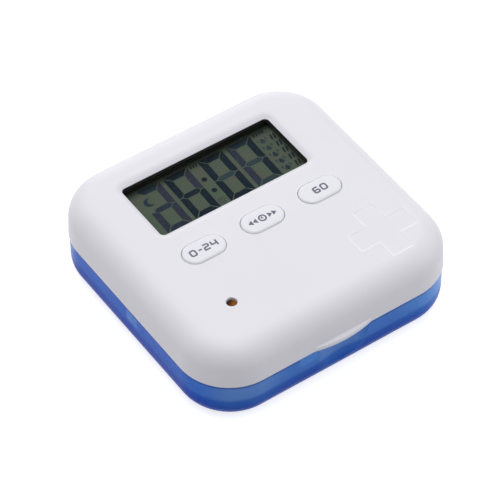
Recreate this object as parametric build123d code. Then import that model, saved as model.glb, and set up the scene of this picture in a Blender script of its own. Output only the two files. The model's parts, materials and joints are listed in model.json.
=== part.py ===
from build123d import *
import os
from math import cos, radians, sin, tan

# Electronic pill box: a white lid that holds a clock and alarm, hinged at the back
# on a blue tray with four compartments.
# X runs to the right along the display, Y to the back, Z up. All sizes are in mm.

# Body
WIDTH = 87.0
DEPTH = 85.8
PARTING = 14.7          # height of the lid's lower edge
LID_HEIGHT = 12.5       # from there to the lid's top
PARTING_GAP = 0.3       # gap between the lid's edge and the tray's rim
CORNER = 16.5           # radius of the upright corners
TOP_ROUND = 7.0         # round between the lid's sides and its top
TRAY_ROUND = 6.0        # round between the tray's sides and its bottom
LID_DRAFT = 2.9         # lean of the lid's sides, in degrees
TRAY_INSET = 0.3        # the tray's sides stand in from the lid's edge
LID_WALL = 1.8
TRAY_WALL = 1.6
TRAY_FLOOR = 1.6
DIVIDER = 1.4           # thickness of the walls between compartments
DIVIDER_DROP = 0.8      # divider tops stay this far under the lid's inner cover
FOOT_RING = 5.0         # width of the flat ring that the tray stands on
FOOT_RECESS = 0.4       # depth of the recess inside that ring

# Opening lip and thumb scoop, at the middle of the front
LIP_REACH = 1.3
LIP_HALF_WIDTH = 9.8
LIP_THICKNESS = 1.4     # at the lid's wall
LIP_FALL = 0.15         # its top falls this much towards the tip
LIP_ROUND = 0.3
LIP_ROOT = 1.0          # the lip's root runs back into the lid's wall
SCOOP_RADIUS = 9.4
SCOOP_DEPTH = 1.6
SCOOP_WALL = 1.2

# Lid hinge
BARREL_R = 1.75
PIN_R = 0.8
PIN_FIT = 0.05          # running clearance round the pin
PRESS_FIT = 0.01        # clearance of a pin or screw that is pressed in
HINGE_OFFSET = 19.0     # middle of each hinge from the middle of the box
KNUCKLE = 8.0           # width of the lid's knuckle
EAR = 4.0               # width of each of the tray's ears
HINGE_GAP = 0.25        # side gap between knuckle and ear
HINGE_CLEAR = 0.3       # space cut in the other wall round a barrel
KNUCKLE_LEAN = 30.0     # angle where the lid's gusset leaves the barrel
EAR_FACE = 2.6          # upright face of an ear under the barrel
EAR_DROP = 7.0
HINGE_BACKING = 1.4     # extra wall thickness inside the hinges
HINGE_MARGIN = 1.0      # the thicker wall reaches past each hinge

# Lid inner cover, its lugs and its screws
COVER_RISE = 0.2        # cover's lower face above the lid's edge
COVER_PLATE = 1.4
COVER_GAP = 0.25
LUG_WIDTH = 5.8
LUG_THICKNESS = 1.1
LUG_CLEAR = 0.35        # lug to the tray's wall
NOTCH_MARGIN = 1.0      # divider's notch past each side of a lug
SIDE_LUG_REACH = 5.4    # how far the side lugs reach under the lid's edge
FRONT_LUG_REACH = 4.3
FRONT_LUG_X = 11.6
COVER_SCREW_INSET = 10.4    # screws from the front and back of the lid
SCREW_R = 1.0
SCREW_HEAD_R = 1.9
SCREW_HEAD = 1.3
SCREW_HOLE_CLEAR = 0.15
HEAD_CLEAR = 0.3
SCREW_CUP_R = 3.1
SCREW_CUP = 2.7
COVER_SCREW_LENGTH = 7.0
SCREW_SLOT = 0.45       # width of the cross slot in a screw's head
SLOT_SPAN = 1.2         # its length, as a share of the head's radius
SLOT_DEPTH = 0.6        # its depth, as a share of the head's height
TAP_ROOM = 0.5          # hole left past a screw's tip
SCREW_POST_R = 2.5
POST_GAP = 1.5          # from the display holder to the screw posts beside it

# Display
WINDOW_X = -0.35
WINDOW_Y = 19.3
WINDOW_WIDTH = 51.0
WINDOW_DEPTH = 21.8
WINDOW_CORNER = 1.5
RIM_DEPTH = 1.0         # depth of the sloping rim round the window
RIM_WIDTH = 1.5
RIM_EDGE = 0.15         # plastic left under the rim's lower edge
RIM_ROUND = 2.2
FRAME_BORDER = 3.0      # black frame and window reach this far past the opening
FRAME_THICKNESS = 1.15
WINDOW_THICKNESS = 0.75
PANEL_BORDER = 2.0      # display panel past the opening
PANEL_THICKNESS = 2.0
REFLECTOR_THICKNESS = 0.25
STACK_GAP = 0.05        # between pieces stacked under the window
HOLDER_WALL = 1.8
HOLDER_CLEAR = 0.2
HOLDER_FLOOR = 0.8
STRIP_WIDTH = 2.2
STRIP_HEIGHT = 2.0
STRIP_INSET = 0.6       # rubber strip from the panel's edge
PEG_R = 0.8
PEG_INSET = 2.0         # holder's pegs from the ends of its side walls

# Circuit board
BOARD_THICKNESS = 1.2
BOARD_MARGIN = 3.0      # board past its screws at the sides
BOARD_CORNER = 1.0
BAY_TO_BOARD = 1.8      # battery bay to the board's front edge
SHOULDER_GAP = 6.0      # the board narrows this far in front of the lid's back posts
NECK_GAP = 0.5          # and leaves this gap beside them
HOLDER_TO_EDGE = 0.8    # display holder to the board's back edge
LEG_GAP = 2.0           # leg of the board to the lid's front post
LEG_PAST_BUZZER = 1.2
FRONT_SCREW_INSET = 4.5 # board's front screws from its front edge
BACK_SCREW_SHIFT = 1.3  # back screws in front of the display's middle
BOARD_SCREW_LENGTH = 5.0
BOARD_POST_R = 2.2
BOARD_HEAD_R = 1.7
BOARD_HEAD = 1.0
LEAD_CLEAR = 0.15

# Push buttons
BUTTON_ROW_X = 0.5
BUTTON_ROW_Y = -3.1
BUTTON_PITCH = 20.0
BUTTON_LENGTH = 13.6
BUTTON_WIDTH = 7.8
BUTTON_CLEAR = 0.15
BUTTON_RISE = 0.5
BUTTON_ROUND = 0.7
BUTTON_TRAVEL = 0.9
FLANGE_BORDER = 1.2
FLANGE_THICKNESS = 1.0
FLANGE_GAP = 0.1
STEM_R = 2.0
DOME_SOLID = 1.5        # height of a dome pressed flat
DOME_FOOT_R = 3.6
DOME_CROWN_R = 2.1
DOME_WALL = 0.6
DOME_GAP = 0.1

# Alarm light, buzzer and small parts
LED_FROM_LEFT = 19.3
LED_FROM_FRONT = 19.3
LED_R = 1.5
LED_SINK = 0.45         # top of the light under the lid's top
LED_BODY = 5.3
LED_ROUND = 0.6
LED_FLANGE_R = 1.9
LED_FLANGE = 1.0
LED_HOLE_CLEAR = 0.15
LEAD_R = 0.25
LEAD_SPACING = 2.54
LEAD_TAIL = 0.9         # lead left under the board
BUZZER_FROM_LED = 10.2
BUZZER_FROM_LEG = 7.5   # middle of the buzzer from the leg's front edge
BUZZER_R = 4.8
BUZZER_HEIGHT = 5.0
BUZZER_HOLE_R = 1.0
BLOB_R = 6.0
BLOB_HEIGHT = 1.3
BLOB_ROUND = 1.0
CRYSTAL_R = 1.0
CRYSTAL_LENGTH = 6.0
CHIP_SIZE = (2.0, 1.25, 0.9)
CHIP_PITCH = 3.2
CHIP_POST_GAP = 2.0     # rows of small parts to the lid's posts beside them

# Cross sunk in the lid's top
CROSS_FROM_RIGHT = 17.4
CROSS_FROM_FRONT = 17.2
CROSS_SPAN = 19.2
CROSS_ARM = 6.5
CROSS_DEPTH = 0.25
CROSS_FLARE = 45.0      # its walls lean outwards, in degrees
CROSS_EDGE = 0.3        # width of the shallow bevel along their upper edge
CROSS_EDGE_DROP = 0.06

# Coin cell, its bay, its contacts and its door
CELL_X = 14.0
CELL_FROM_FRONT = 18.9
CELL_R = 10.0
CELL_HEIGHT = 3.2
CELL_RIM = 1.2          # the smaller minus face stands in from the can
CELL_STEP = 0.4
CELL_ROUND = 0.4
CELL_GAP = 0.15         # cell to door
BAY_CLEAR = 0.4
BAY_WALL = 1.3
BAY_ROOF = 1.0
BAY_HEADROOM = 0.95     # space over the cell for the minus contact
DOOR = 25.0
DOOR_CLEAR = 0.2
DOOR_CORNER = 2.0
LEDGE_BORDER = 1.6
LEDGE_THICKNESS = 1.0
HOOK_WIDTH = 4.0
HOOK_REACH = 1.2
HOOK_THICKNESS = 0.65
HOOK_SPACING = 12.0
HOOK_LIFT = 0.15        # hook above the ledge that it grips
HOOK_NECK = 1.2         # thickness of the hook's root, front to back
HOOK_SINK = 0.5         # the root starts this deep in the door
HOOK_SWING = 2.9        # room in front of the hinge line for the hook as the door tips
GRIP_R = 5.0
GRIP_DEPTH = 0.7
STRIP_METAL = 0.3       # thickness of the contact strips
CONTACT_WIDTH = 3.0
CONTACT_SPACING = 5.0
CONTACT_FOOT = 3.0      # length of a contact's foot on the board
CONTACT_LEG_GAP = 0.6   # its leg to the board's edge
TONGUE_LENGTH = 5.0

# Places that follow from the sizes above
HEIGHT = PARTING + LID_HEIGHT
RIM_Z = PARTING - PARTING_GAP
AXIS_Y = DEPTH / 2
AXIS_Z = PARTING - PARTING_GAP / 2
HINGE_WIDTH = KNUCKLE + 2 * (EAR + HINGE_GAP)
BACKING_WIDTH = HINGE_WIDTH + 2 * HINGE_MARGIN
TRAY_WIDTH = WIDTH - 2 * TRAY_INSET
TRAY_DEPTH = DEPTH - 2 * TRAY_INSET
TRAY_CORNER = CORNER - TRAY_INSET
COVER_Z = PARTING + COVER_RISE
COVER_TOP = COVER_Z + COVER_PLATE
DIVIDER_TOP = COVER_Z - DIVIDER_DROP
CEILING = HEIGHT - LID_WALL
FRAME_Z = HEIGHT - RIM_DEPTH - RIM_EDGE
WINDOW_TOP = FRAME_Z - FRAME_THICKNESS - 2 * STACK_GAP
PANEL_TOP = WINDOW_TOP - WINDOW_THICKNESS - STACK_GAP
PANEL_UNDER = PANEL_TOP - PANEL_THICKNESS
BOARD_TOP = PANEL_UNDER - STRIP_HEIGHT
BOARD_UNDER = BOARD_TOP - BOARD_THICKNESS
DOME_HEIGHT = DOME_SOLID + BUTTON_TRAVEL
PANEL_WIDTH = WINDOW_WIDTH + 2 * PANEL_BORDER
PANEL_DEPTH = WINDOW_DEPTH + 2 * PANEL_BORDER
HOLDER_BORDER = PANEL_BORDER + HOLDER_CLEAR + HOLDER_WALL
HOLDER_HALF_WIDTH = WINDOW_WIDTH / 2 + HOLDER_BORDER
COVER_SCREW_X = HOLDER_HALF_WIDTH + POST_GAP + SCREW_POST_R
COVER_SCREW_Y = DEPTH / 2 - COVER_SCREW_INSET
BOARD_SCREW_X = HOLDER_HALF_WIDTH + POST_GAP + BOARD_POST_R
BUTTON_XS = {
    "left": BUTTON_ROW_X - BUTTON_PITCH,
    "middle": BUTTON_ROW_X,
    "right": BUTTON_ROW_X + BUTTON_PITCH,
}
CELL_Y = -DEPTH / 2 + CELL_FROM_FRONT
CELL_Z = COVER_TOP + CELL_GAP
BAY_R = CELL_R + BAY_CLEAR
BAY_CEILING = CELL_Z + CELL_HEIGHT + BAY_HEADROOM
DOOR_AXIS_Y = CELL_Y + DOOR / 2 + DOOR_CLEAR
LED_X = -WIDTH / 2 + LED_FROM_LEFT
LED_Y = -DEPTH / 2 + LED_FROM_FRONT
CROSS_X = WIDTH / 2 - CROSS_FROM_RIGHT
CROSS_Y = -DEPTH / 2 + CROSS_FROM_FRONT
BOARD_WIDTH = 2 * (BOARD_SCREW_X + BOARD_MARGIN)
BOARD_FRONT = CELL_Y + BAY_R + BAY_WALL + BAY_TO_BOARD
BOARD_BACK = WINDOW_Y + WINDOW_DEPTH / 2 + HOLDER_BORDER + HOLDER_TO_EDGE
BOARD_SHOULDER = COVER_SCREW_Y - SCREW_POST_R - SHOULDER_GAP
BOARD_NECK_WIDTH = 2 * (COVER_SCREW_X - SCREW_POST_R - NECK_GAP)
BOARD_SCREW_YS = (BOARD_FRONT + FRONT_SCREW_INSET, WINDOW_Y - BACK_SCREW_SHIFT)
LEG_FRONT = -COVER_SCREW_Y + SCREW_POST_R + LEG_GAP
BUZZER_X = LED_X + BUZZER_FROM_LED
BUZZER_Y = LEG_FRONT + BUZZER_FROM_LEG
LEG_RIGHT = BUZZER_X + BUZZER_R + LEG_PAST_BUZZER
SIDE_LUG_Y = 0.0
# The lip and the hinge barrels are what reaches past the body, front and back
BODY_SHIFT = (LIP_REACH - BARREL_R) / 2


def slab(width, depth, corner, z, height):
    """Upright block with rounded corners, standing on height z."""
    return Pos(0, 0, z) * extrude(RectangleRounded(width, depth, corner), height)


def disc(radius, x, y, z, height):
    """Upright cylinder standing on height z."""
    return Pos(x, y, z) * extrude(Circle(radius), height)


def block(x, y, z, width, depth, height):
    """Box centred on x and y, standing on height z."""
    return Pos(x, y, z) * Box(width, depth, height, align=(Align.CENTER, Align.CENTER, Align.MIN))


def rod(radius, x, y, z, length):
    """Cylinder along X, centred on the point."""
    return Pos(x, y, z) * Rot(0, 90, 0) * Cylinder(radius, length)


def side_prism(points, x, width):
    """Outline drawn in Y and Z, made width thick along X and centred on x."""
    face = Plane.YZ * make_face(Polyline(*points, close=True))
    return Pos(x - width / 2, 0, 0) * extrude(face, width)


def drafted_block(inset, top, round_radius):
    """Body of the lid: leaning sides from the parting line to the top, rounded over."""
    outline = RectangleRounded(WIDTH - 2 * inset, DEPTH - 2 * inset, CORNER - inset)
    body = Pos(0, 0, PARTING) * extrude(outline, top - PARTING, taper=LID_DRAFT)
    return fillet(body.faces().sort_by(Axis.Z)[-1].edges(), round_radius)


def window_block(border, corner, z, height):
    """Block under the display opening, larger than it by the border."""
    outline = slab(WINDOW_WIDTH + 2 * border, WINDOW_DEPTH + 2 * border, corner, z, height)
    return Pos(WINDOW_X, WINDOW_Y, 0) * outline


def hinge_spans():
    """Middle and width of the lid's knuckles and of the tray's ears."""
    ear_shift = KNUCKLE / 2 + HINGE_GAP + EAR / 2
    knuckles = [(side * HINGE_OFFSET, KNUCKLE) for side in (-1, 1)]
    ears = [(x + turn * ear_shift, EAR) for x, _ in knuckles for turn in (-1, 1)]
    return knuckles, ears


def cover_screw_places():
    return [(i * COVER_SCREW_X, j * COVER_SCREW_Y) for i in (-1, 1) for j in (-1, 1)]


def board_screw_places():
    return [(i * BOARD_SCREW_X, y) for i in (-1, 1) for y in BOARD_SCREW_YS]


def scoop_ball(extra):
    """Ball that presses the thumb scoop into the tray's front, grown by extra."""
    radius = (SCOOP_RADIUS ** 2 + SCOOP_DEPTH ** 2) / (2 * SCOOP_DEPTH)
    centre_y = -TRAY_DEPTH / 2 + SCOOP_DEPTH - radius
    return Pos(0, centre_y, RIM_Z) * Sphere(radius + extra)


def base_tray():
    outer = slab(TRAY_WIDTH, TRAY_DEPTH, TRAY_CORNER, 0, RIM_Z)
    outer = fillet(outer.faces().sort_by(Axis.Z)[0].edges(), TRAY_ROUND)
    cavity = slab(TRAY_WIDTH - 2 * TRAY_WALL, TRAY_DEPTH - 2 * TRAY_WALL,
                  TRAY_CORNER - TRAY_WALL, TRAY_FLOOR, RIM_Z)
    cavity = fillet(cavity.faces().sort_by(Axis.Z)[0].edges(), TRAY_ROUND - TRAY_WALL)
    across = block(0, 0, 0, TRAY_WIDTH, DIVIDER, DIVIDER_TOP)
    along = block(0, 0, 0, DIVIDER, TRAY_DEPTH, DIVIDER_TOP)
    cavity = cavity - across - along
    cavity = cavity - scoop_ball(SCOOP_WALL)
    knuckles, ears = hinge_spans()
    backing_y = AXIS_Y - TRAY_INSET - TRAY_WALL - HINGE_BACKING
    for x, _ in knuckles:
        cavity = cavity - block(x, backing_y + TRAY_WALL, AXIS_Z - EAR_DROP,
                                BACKING_WIDTH, 2 * TRAY_WALL, EAR_DROP)
    tray = outer - cavity - scoop_ball(0)
    # Ends of the crosswise divider are notched for the lid's side lugs
    lug_depth = LUG_CLEAR + LUG_THICKNESS + LUG_CLEAR
    for side in (-1, 1):
        x = side * (TRAY_WIDTH / 2 - TRAY_WALL - lug_depth / 2)
        notch_z = PARTING - SIDE_LUG_REACH - LUG_CLEAR
        tray -= block(x, SIDE_LUG_Y, notch_z, lug_depth, LUG_WIDTH + 2 * NOTCH_MARGIN, RIM_Z)
    # Room for the lid's knuckles, then the ears that stand each side of them
    for x, width in knuckles:
        tray -= rod(BARREL_R + HINGE_CLEAR, x, AXIS_Y, AXIS_Z, width + 2 * HINGE_GAP)
    wall_y = AXIS_Y - TRAY_INSET - TRAY_WALL / 2
    ear_outline = [
        (wall_y, AXIS_Z - PARTING_GAP / 2),
        (AXIS_Y, AXIS_Z),
        (AXIS_Y + BARREL_R, AXIS_Z),
        (AXIS_Y + BARREL_R, AXIS_Z - EAR_FACE),
        (wall_y, AXIS_Z - EAR_DROP),
    ]
    for x, width in ears:
        tray += rod(BARREL_R, x, AXIS_Y, AXIS_Z, width) + side_prism(ear_outline, x, width)
    for x, _ in knuckles:
        tray -= rod(PIN_R + PRESS_FIT, x, AXIS_Y, AXIS_Z, BACKING_WIDTH)
    flat = TRAY_ROUND + FOOT_RING
    tray -= slab(TRAY_WIDTH - 2 * flat, TRAY_DEPTH - 2 * flat, TRAY_CORNER - flat, 0, FOOT_RECESS)
    return tray


def hinge_pins():
    knuckles, _ = hinge_spans()
    return [rod(PIN_R, x, AXIS_Y, AXIS_Z, HINGE_WIDTH) for x, _ in knuckles]


def lip():
    """Crescent lip at the front that a finger lifts the lid by, level with the lid's lower edge."""
    front = -DEPTH / 2
    tip = front - LIP_REACH
    top = PARTING + LIP_THICKNESS
    radius = (LIP_HALF_WIDTH ** 2 + LIP_REACH ** 2) / (2 * LIP_REACH)
    plate = disc(radius, 0, tip + radius, PARTING, LIP_THICKNESS)
    plate = plate & block(0, tip, PARTING, 4 * LIP_HALF_WIDTH, 2 * (LIP_REACH + LIP_ROOT), LIP_THICKNESS)
    slope = [(front, top), (tip, top - LIP_FALL), (tip, top + 1), (front, top + 1)]
    plate = plate - side_prism(slope, 0, 4 * LIP_HALF_WIDTH)
    outer = plate.edges().filter_by(lambda e: e.center().Y < front - LIP_REACH / 2)
    edge = outer.filter_by(lambda e: e.center().Z > PARTING + LIP_ROUND)
    return fillet(edge, LIP_ROUND)


def lid_shell():
    shell = drafted_block(0, HEIGHT, TOP_ROUND)
    cavity = drafted_block(LID_WALL, CEILING, TOP_ROUND - LID_WALL)
    knuckles, ears = hinge_spans()
    backing_y = AXIS_Y - LID_WALL - HINGE_BACKING
    for x, _ in knuckles:
        cavity = cavity - block(x, backing_y + LID_WALL, PARTING,
                                BACKING_WIDTH, 2 * LID_WALL, 3 * BARREL_R)
    for x, y in cover_screw_places():
        post = disc(SCREW_POST_R, x, y, COVER_Z + SCREW_CUP, CEILING + LID_WALL / 4 - COVER_Z - SCREW_CUP)
        cavity = cavity - post
    for x, y in board_screw_places():
        cavity = cavity - disc(BOARD_POST_R, x, y, BOARD_TOP, CEILING - BOARD_TOP)
    shell = shell - cavity
    tip = HEAD_CLEAR + SCREW_HEAD + COVER_SCREW_LENGTH - SCREW_CUP
    for x, y in cover_screw_places():
        shell -= disc(SCREW_R + PRESS_FIT, x, y, COVER_Z + SCREW_CUP, tip + TAP_ROOM)
    tip = BOARD_SCREW_LENGTH - BOARD_THICKNESS
    for x, y in board_screw_places():
        shell -= disc(SCREW_R + PRESS_FIT, x, y, BOARD_TOP, tip + TAP_ROOM)
    # Display opening: a sloping rim, and a shallow pocket inside for the black frame
    rim_z = HEIGHT - RIM_DEPTH
    small = RectangleRounded(WINDOW_WIDTH, WINDOW_DEPTH, WINDOW_CORNER)
    large = RectangleRounded(WINDOW_WIDTH + 2 * RIM_WIDTH, WINDOW_DEPTH + 2 * RIM_WIDTH,
                             WINDOW_CORNER + RIM_WIDTH)
    rim = loft([Pos(WINDOW_X, WINDOW_Y, rim_z) * small, Pos(WINDOW_X, WINDOW_Y, HEIGHT) * large])
    shell = shell - rim
    shell -= window_block(0, WINDOW_CORNER, CEILING - 1, LID_WALL + 1)
    shell -= window_block(FRAME_BORDER + HOLDER_CLEAR, WINDOW_CORNER, CEILING - 1, FRAME_Z - CEILING + 1)
    mouth = [e for e in shell.edges()
             if abs(e.center().Z - HEIGHT) < 0.01 and abs(e.center().X - WINDOW_X) < WINDOW_WIDTH / 2 + 2.5
             and abs(e.center().Y - WINDOW_Y) < WINDOW_DEPTH / 2 + 2.5]
    shell = fillet(mouth, RIM_ROUND)
    for x in BUTTON_XS.values():
        hole = SlotOverall(BUTTON_LENGTH + 2 * BUTTON_CLEAR, BUTTON_WIDTH + 2 * BUTTON_CLEAR)
        shell -= Pos(x, BUTTON_ROW_Y, CEILING - 1) * extrude(hole, LID_WALL + 2)
    shell -= disc(LED_R + LED_HOLE_CLEAR, LED_X, LED_Y, CEILING - 1, LID_WALL + 2)
    # Sunk cross: walls that lean outwards, with a shallow bevel along their upper edge
    grow = 2 * (CROSS_DEPTH - CROSS_EDGE_DROP) * tan(radians(CROSS_FLARE))
    wide = grow + 4 * CROSS_EDGE
    for width, depth in ((CROSS_SPAN, CROSS_ARM), (CROSS_ARM, CROSS_SPAN)):
        arm = extrude(Rectangle(width, depth), 2 * CROSS_DEPTH, taper=-CROSS_FLARE)
        shell -= Pos(CROSS_X, CROSS_Y, HEIGHT - CROSS_DEPTH) * arm
        high = Pos(0, 0, 2 * CROSS_EDGE_DROP) * Rectangle(width + wide, depth + wide)
        bevel = loft([Rectangle(width + grow, depth + grow), high])
        shell -= Pos(CROSS_X, CROSS_Y, HEIGHT - CROSS_EDGE_DROP) * bevel
    # Hinge: room for the tray's ears, then the lid's knuckles with their gussets
    for x, width in ears:
        shell -= rod(BARREL_R + HINGE_CLEAR, x, AXIS_Y, AXIS_Z, width + 2 * HINGE_GAP)
    lean = radians(KNUCKLE_LEAN)
    inside = LID_WALL / 2
    crest = BARREL_R / sin(lean)
    gusset = [
        (AXIS_Y - inside, PARTING),
        (AXIS_Y + BARREL_R * cos(lean), AXIS_Z + BARREL_R * sin(lean)),
        (AXIS_Y - inside, AXIS_Z + crest + inside / tan(lean)),
    ]
    for x, width in knuckles:
        shell += rod(BARREL_R, x, AXIS_Y, AXIS_Z, width) + side_prism(gusset, x, width)
        shell -= rod(PIN_R + PIN_FIT, x, AXIS_Y, AXIS_Z, width + 1)
    return shell + lip()


def lid_inner_cover():
    inset = LID_WALL + COVER_GAP
    cover = slab(WIDTH - 2 * inset, DEPTH - 2 * inset, CORNER - inset, COVER_Z, COVER_PLATE)
    knuckles, _ = hinge_spans()
    for x, _ in knuckles:
        cover -= block(x, AXIS_Y - LID_WALL, COVER_Z, BACKING_WIDTH + 2 * COVER_GAP,
                       2 * (HINGE_BACKING + COVER_GAP), COVER_PLATE)
    for x, y in cover_screw_places():
        cover += disc(SCREW_CUP_R, x, y, COVER_Z, SCREW_CUP)
        cover -= disc(SCREW_HEAD_R + HEAD_CLEAR, x, y, COVER_Z, HEAD_CLEAR + SCREW_HEAD)
        cover -= disc(SCREW_R + SCREW_HOLE_CLEAR, x, y, COVER_Z, SCREW_CUP)
    # Battery bay: a ledge round the door, a round wall and a roof
    ledge = DOOR + 2 * LEDGE_BORDER
    cover += block(CELL_X, CELL_Y, COVER_TOP, ledge, ledge, LEDGE_THICKNESS)
    cover += disc(BAY_R + BAY_WALL, CELL_X, CELL_Y, COVER_TOP, BAY_CEILING + BAY_ROOF - COVER_TOP)
    opening = slab(DOOR + 2 * DOOR_CLEAR, DOOR + 2 * DOOR_CLEAR, DOOR_CORNER + DOOR_CLEAR,
                   COVER_Z, COVER_PLATE)
    cover -= Pos(CELL_X, CELL_Y, 0) * opening
    cover -= disc(BAY_R, CELL_X, CELL_Y, COVER_Z, BAY_CEILING - COVER_Z)
    slot_back = HOOK_REACH + DOOR_CLEAR
    slot_y = DOOR_AXIS_Y + (slot_back - HOOK_SWING) / 2
    for x in hook_places():
        cover -= block(x, slot_y, COVER_TOP, HOOK_WIDTH + 2 * DOOR_CLEAR,
                       slot_back + HOOK_SWING, LEDGE_THICKNESS + BAY_ROOF)
    # Slots in the bay's wall for the two contact strips
    slot_z = CELL_Z + CELL_GAP
    slot_depth = BAY_R + BAY_WALL + 1
    for x in contact_places():
        cover -= block(x, CELL_Y + slot_depth / 2, slot_z, CONTACT_WIDTH + 2 * DOOR_CLEAR,
                       slot_depth, BAY_CEILING - slot_z)
    # Lugs that guide the lid into the tray: one each side and two at the front
    lug_inset = TRAY_INSET + TRAY_WALL + LUG_CLEAR + LUG_THICKNESS / 2
    for side in (-1, 1):
        reach = SIDE_LUG_REACH + COVER_RISE
        cover += block(side * (WIDTH / 2 - lug_inset), SIDE_LUG_Y, COVER_Z - reach,
                       LUG_THICKNESS, LUG_WIDTH, reach)
        reach = FRONT_LUG_REACH + COVER_RISE
        cover += block(side * FRONT_LUG_X, -DEPTH / 2 + lug_inset, COVER_Z - reach,
                       LUG_WIDTH, LUG_THICKNESS, reach)
    return cover


def screw(x, y, head_z, head_radius, head, length):
    """Screw driven upwards: head on top of head_z, shank above it, cross slot under the head."""
    body = disc(head_radius, x, y, head_z, head) + disc(SCREW_R, x, y, head_z + head, length)
    span = SLOT_SPAN * head_radius
    for width, depth in ((span, SCREW_SLOT), (SCREW_SLOT, span)):
        body -= block(x, y, head_z, width, depth, SLOT_DEPTH * head)
    return body


def cover_screws():
    return [screw(x, y, COVER_Z + HEAD_CLEAR, SCREW_HEAD_R, SCREW_HEAD, COVER_SCREW_LENGTH)
            for x, y in cover_screw_places()]


def board_screws():
    return [screw(x, y, BOARD_UNDER - BOARD_HEAD, BOARD_HEAD_R, BOARD_HEAD, BOARD_SCREW_LENGTH)
            for x, y in board_screw_places()]


def display_frame():
    z = FRAME_Z - STACK_GAP - FRAME_THICKNESS
    ring = window_block(FRAME_BORDER, WINDOW_CORNER, z, FRAME_THICKNESS)
    return ring - window_block(0, WINDOW_CORNER, z, FRAME_THICKNESS)


def display_window():
    return window_block(FRAME_BORDER, WINDOW_CORNER, WINDOW_TOP - WINDOW_THICKNESS, WINDOW_THICKNESS)


def lcd_panel():
    return window_block(PANEL_BORDER, STRIP_INSET, PANEL_UNDER, PANEL_THICKNESS)


def lcd_reflector():
    depth = PANEL_DEPTH - 2 * (STRIP_INSET + STRIP_WIDTH + HOLDER_CLEAR)
    z = PANEL_UNDER - REFLECTOR_THICKNESS
    return block(WINDOW_X, WINDOW_Y, z, PANEL_WIDTH - 2 * STRIP_INSET, depth, REFLECTOR_THICKNESS)


def strip_places():
    shift = PANEL_DEPTH / 2 - STRIP_INSET - STRIP_WIDTH / 2
    return [WINDOW_Y - shift, WINDOW_Y + shift]


def connector_strips():
    length = PANEL_WIDTH - 4 * STRIP_INSET
    return [block(WINDOW_X, y, BOARD_TOP, length, STRIP_WIDTH, PANEL_UNDER - BOARD_TOP)
            for y in strip_places()]


def peg_places():
    x = PANEL_WIDTH / 2 + HOLDER_CLEAR + HOLDER_WALL / 2
    y = PANEL_DEPTH / 2 - PEG_INSET
    return [(WINDOW_X + i * x, WINDOW_Y + j * y) for i in (-1, 1) for j in (-1, 1)]


def lcd_holder():
    ring = window_block(HOLDER_BORDER, WINDOW_CORNER, BOARD_TOP, PANEL_TOP - BOARD_TOP)
    ring -= window_block(PANEL_BORDER + HOLDER_CLEAR, STRIP_INSET, BOARD_TOP + HOLDER_FLOOR, PANEL_TOP)
    for y in strip_places():
        ring -= block(WINDOW_X, y, BOARD_TOP, PANEL_WIDTH - 3 * STRIP_INSET,
                      STRIP_WIDTH + 2 * HOLDER_CLEAR, HOLDER_FLOOR)
    ring -= disc(BLOB_R + HOLDER_CLEAR, WINDOW_X, WINDOW_Y, BOARD_TOP, HOLDER_FLOOR)
    for x, y in peg_places():
        ring += disc(PEG_R, x, y, BOARD_UNDER - HOLDER_FLOOR / 2, BOARD_THICKNESS + HOLDER_FLOOR / 2)
    return ring


def lead_places():
    return [(LED_X + i * LEAD_SPACING / 2, LED_Y) for i in (-1, 1)]


def board_part(left, right, front, back):
    sheet = slab(right - left, back - front, BOARD_CORNER, BOARD_UNDER, BOARD_THICKNESS)
    return Pos((left + right) / 2, (front + back) / 2, 0) * sheet


def circuit_board():
    """Board with a wide middle, a neck behind the display and a leg at the front left."""
    side = BOARD_WIDTH / 2
    neck = BOARD_NECK_WIDTH / 2
    board = board_part(-side, side, BOARD_FRONT, BOARD_SHOULDER)
    board += board_part(-neck, neck, BOARD_FRONT, BOARD_BACK)
    board += board_part(-side, LEG_RIGHT, LEG_FRONT, BOARD_FRONT + 4 * BOARD_CORNER)
    for x, y in board_screw_places():
        board -= disc(SCREW_R + SCREW_HOLE_CLEAR, x, y, BOARD_UNDER, BOARD_THICKNESS)
    for x, y in peg_places():
        board -= disc(PEG_R + PIN_FIT, x, y, BOARD_UNDER, BOARD_THICKNESS)
    for x, y in lead_places():
        board -= disc(LEAD_R + LEAD_CLEAR, x, y, BOARD_UNDER, BOARD_THICKNESS)
    return board


def button(x):
    """Key cap: the pill that shows, a flange that keeps it in, and a stem onto the dome."""
    flange_z = CEILING - FLANGE_GAP - FLANGE_THICKNESS
    top = HEIGHT + BUTTON_RISE
    cap = Pos(x, BUTTON_ROW_Y, flange_z) * extrude(SlotOverall(BUTTON_LENGTH, BUTTON_WIDTH), top - flange_z)
    cap = fillet(cap.faces().sort_by(Axis.Z)[-1].edges(), BUTTON_ROUND)
    flange = SlotOverall(BUTTON_LENGTH + 2 * FLANGE_BORDER, BUTTON_WIDTH + 2 * FLANGE_BORDER)
    cap += Pos(x, BUTTON_ROW_Y, flange_z) * extrude(flange, FLANGE_THICKNESS)
    stem_z = BOARD_TOP + DOME_HEIGHT + DOME_GAP
    return cap + disc(STEM_R, x, BUTTON_ROW_Y, stem_z, flange_z - stem_z)


def dome(x):
    """Rubber dome under a key, hollow, with a flat crown."""
    outer = Pos(x, BUTTON_ROW_Y, BOARD_TOP + DOME_HEIGHT / 2) * Cone(DOME_FOOT_R, DOME_CROWN_R, DOME_HEIGHT)
    hollow_height = DOME_HEIGHT - 1.5 * DOME_WALL
    hollow = Pos(x, BUTTON_ROW_Y, BOARD_TOP + hollow_height / 2) * Cone(
        DOME_FOOT_R - DOME_WALL, DOME_CROWN_R - DOME_WALL / 2, hollow_height)
    return outer - hollow


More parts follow.
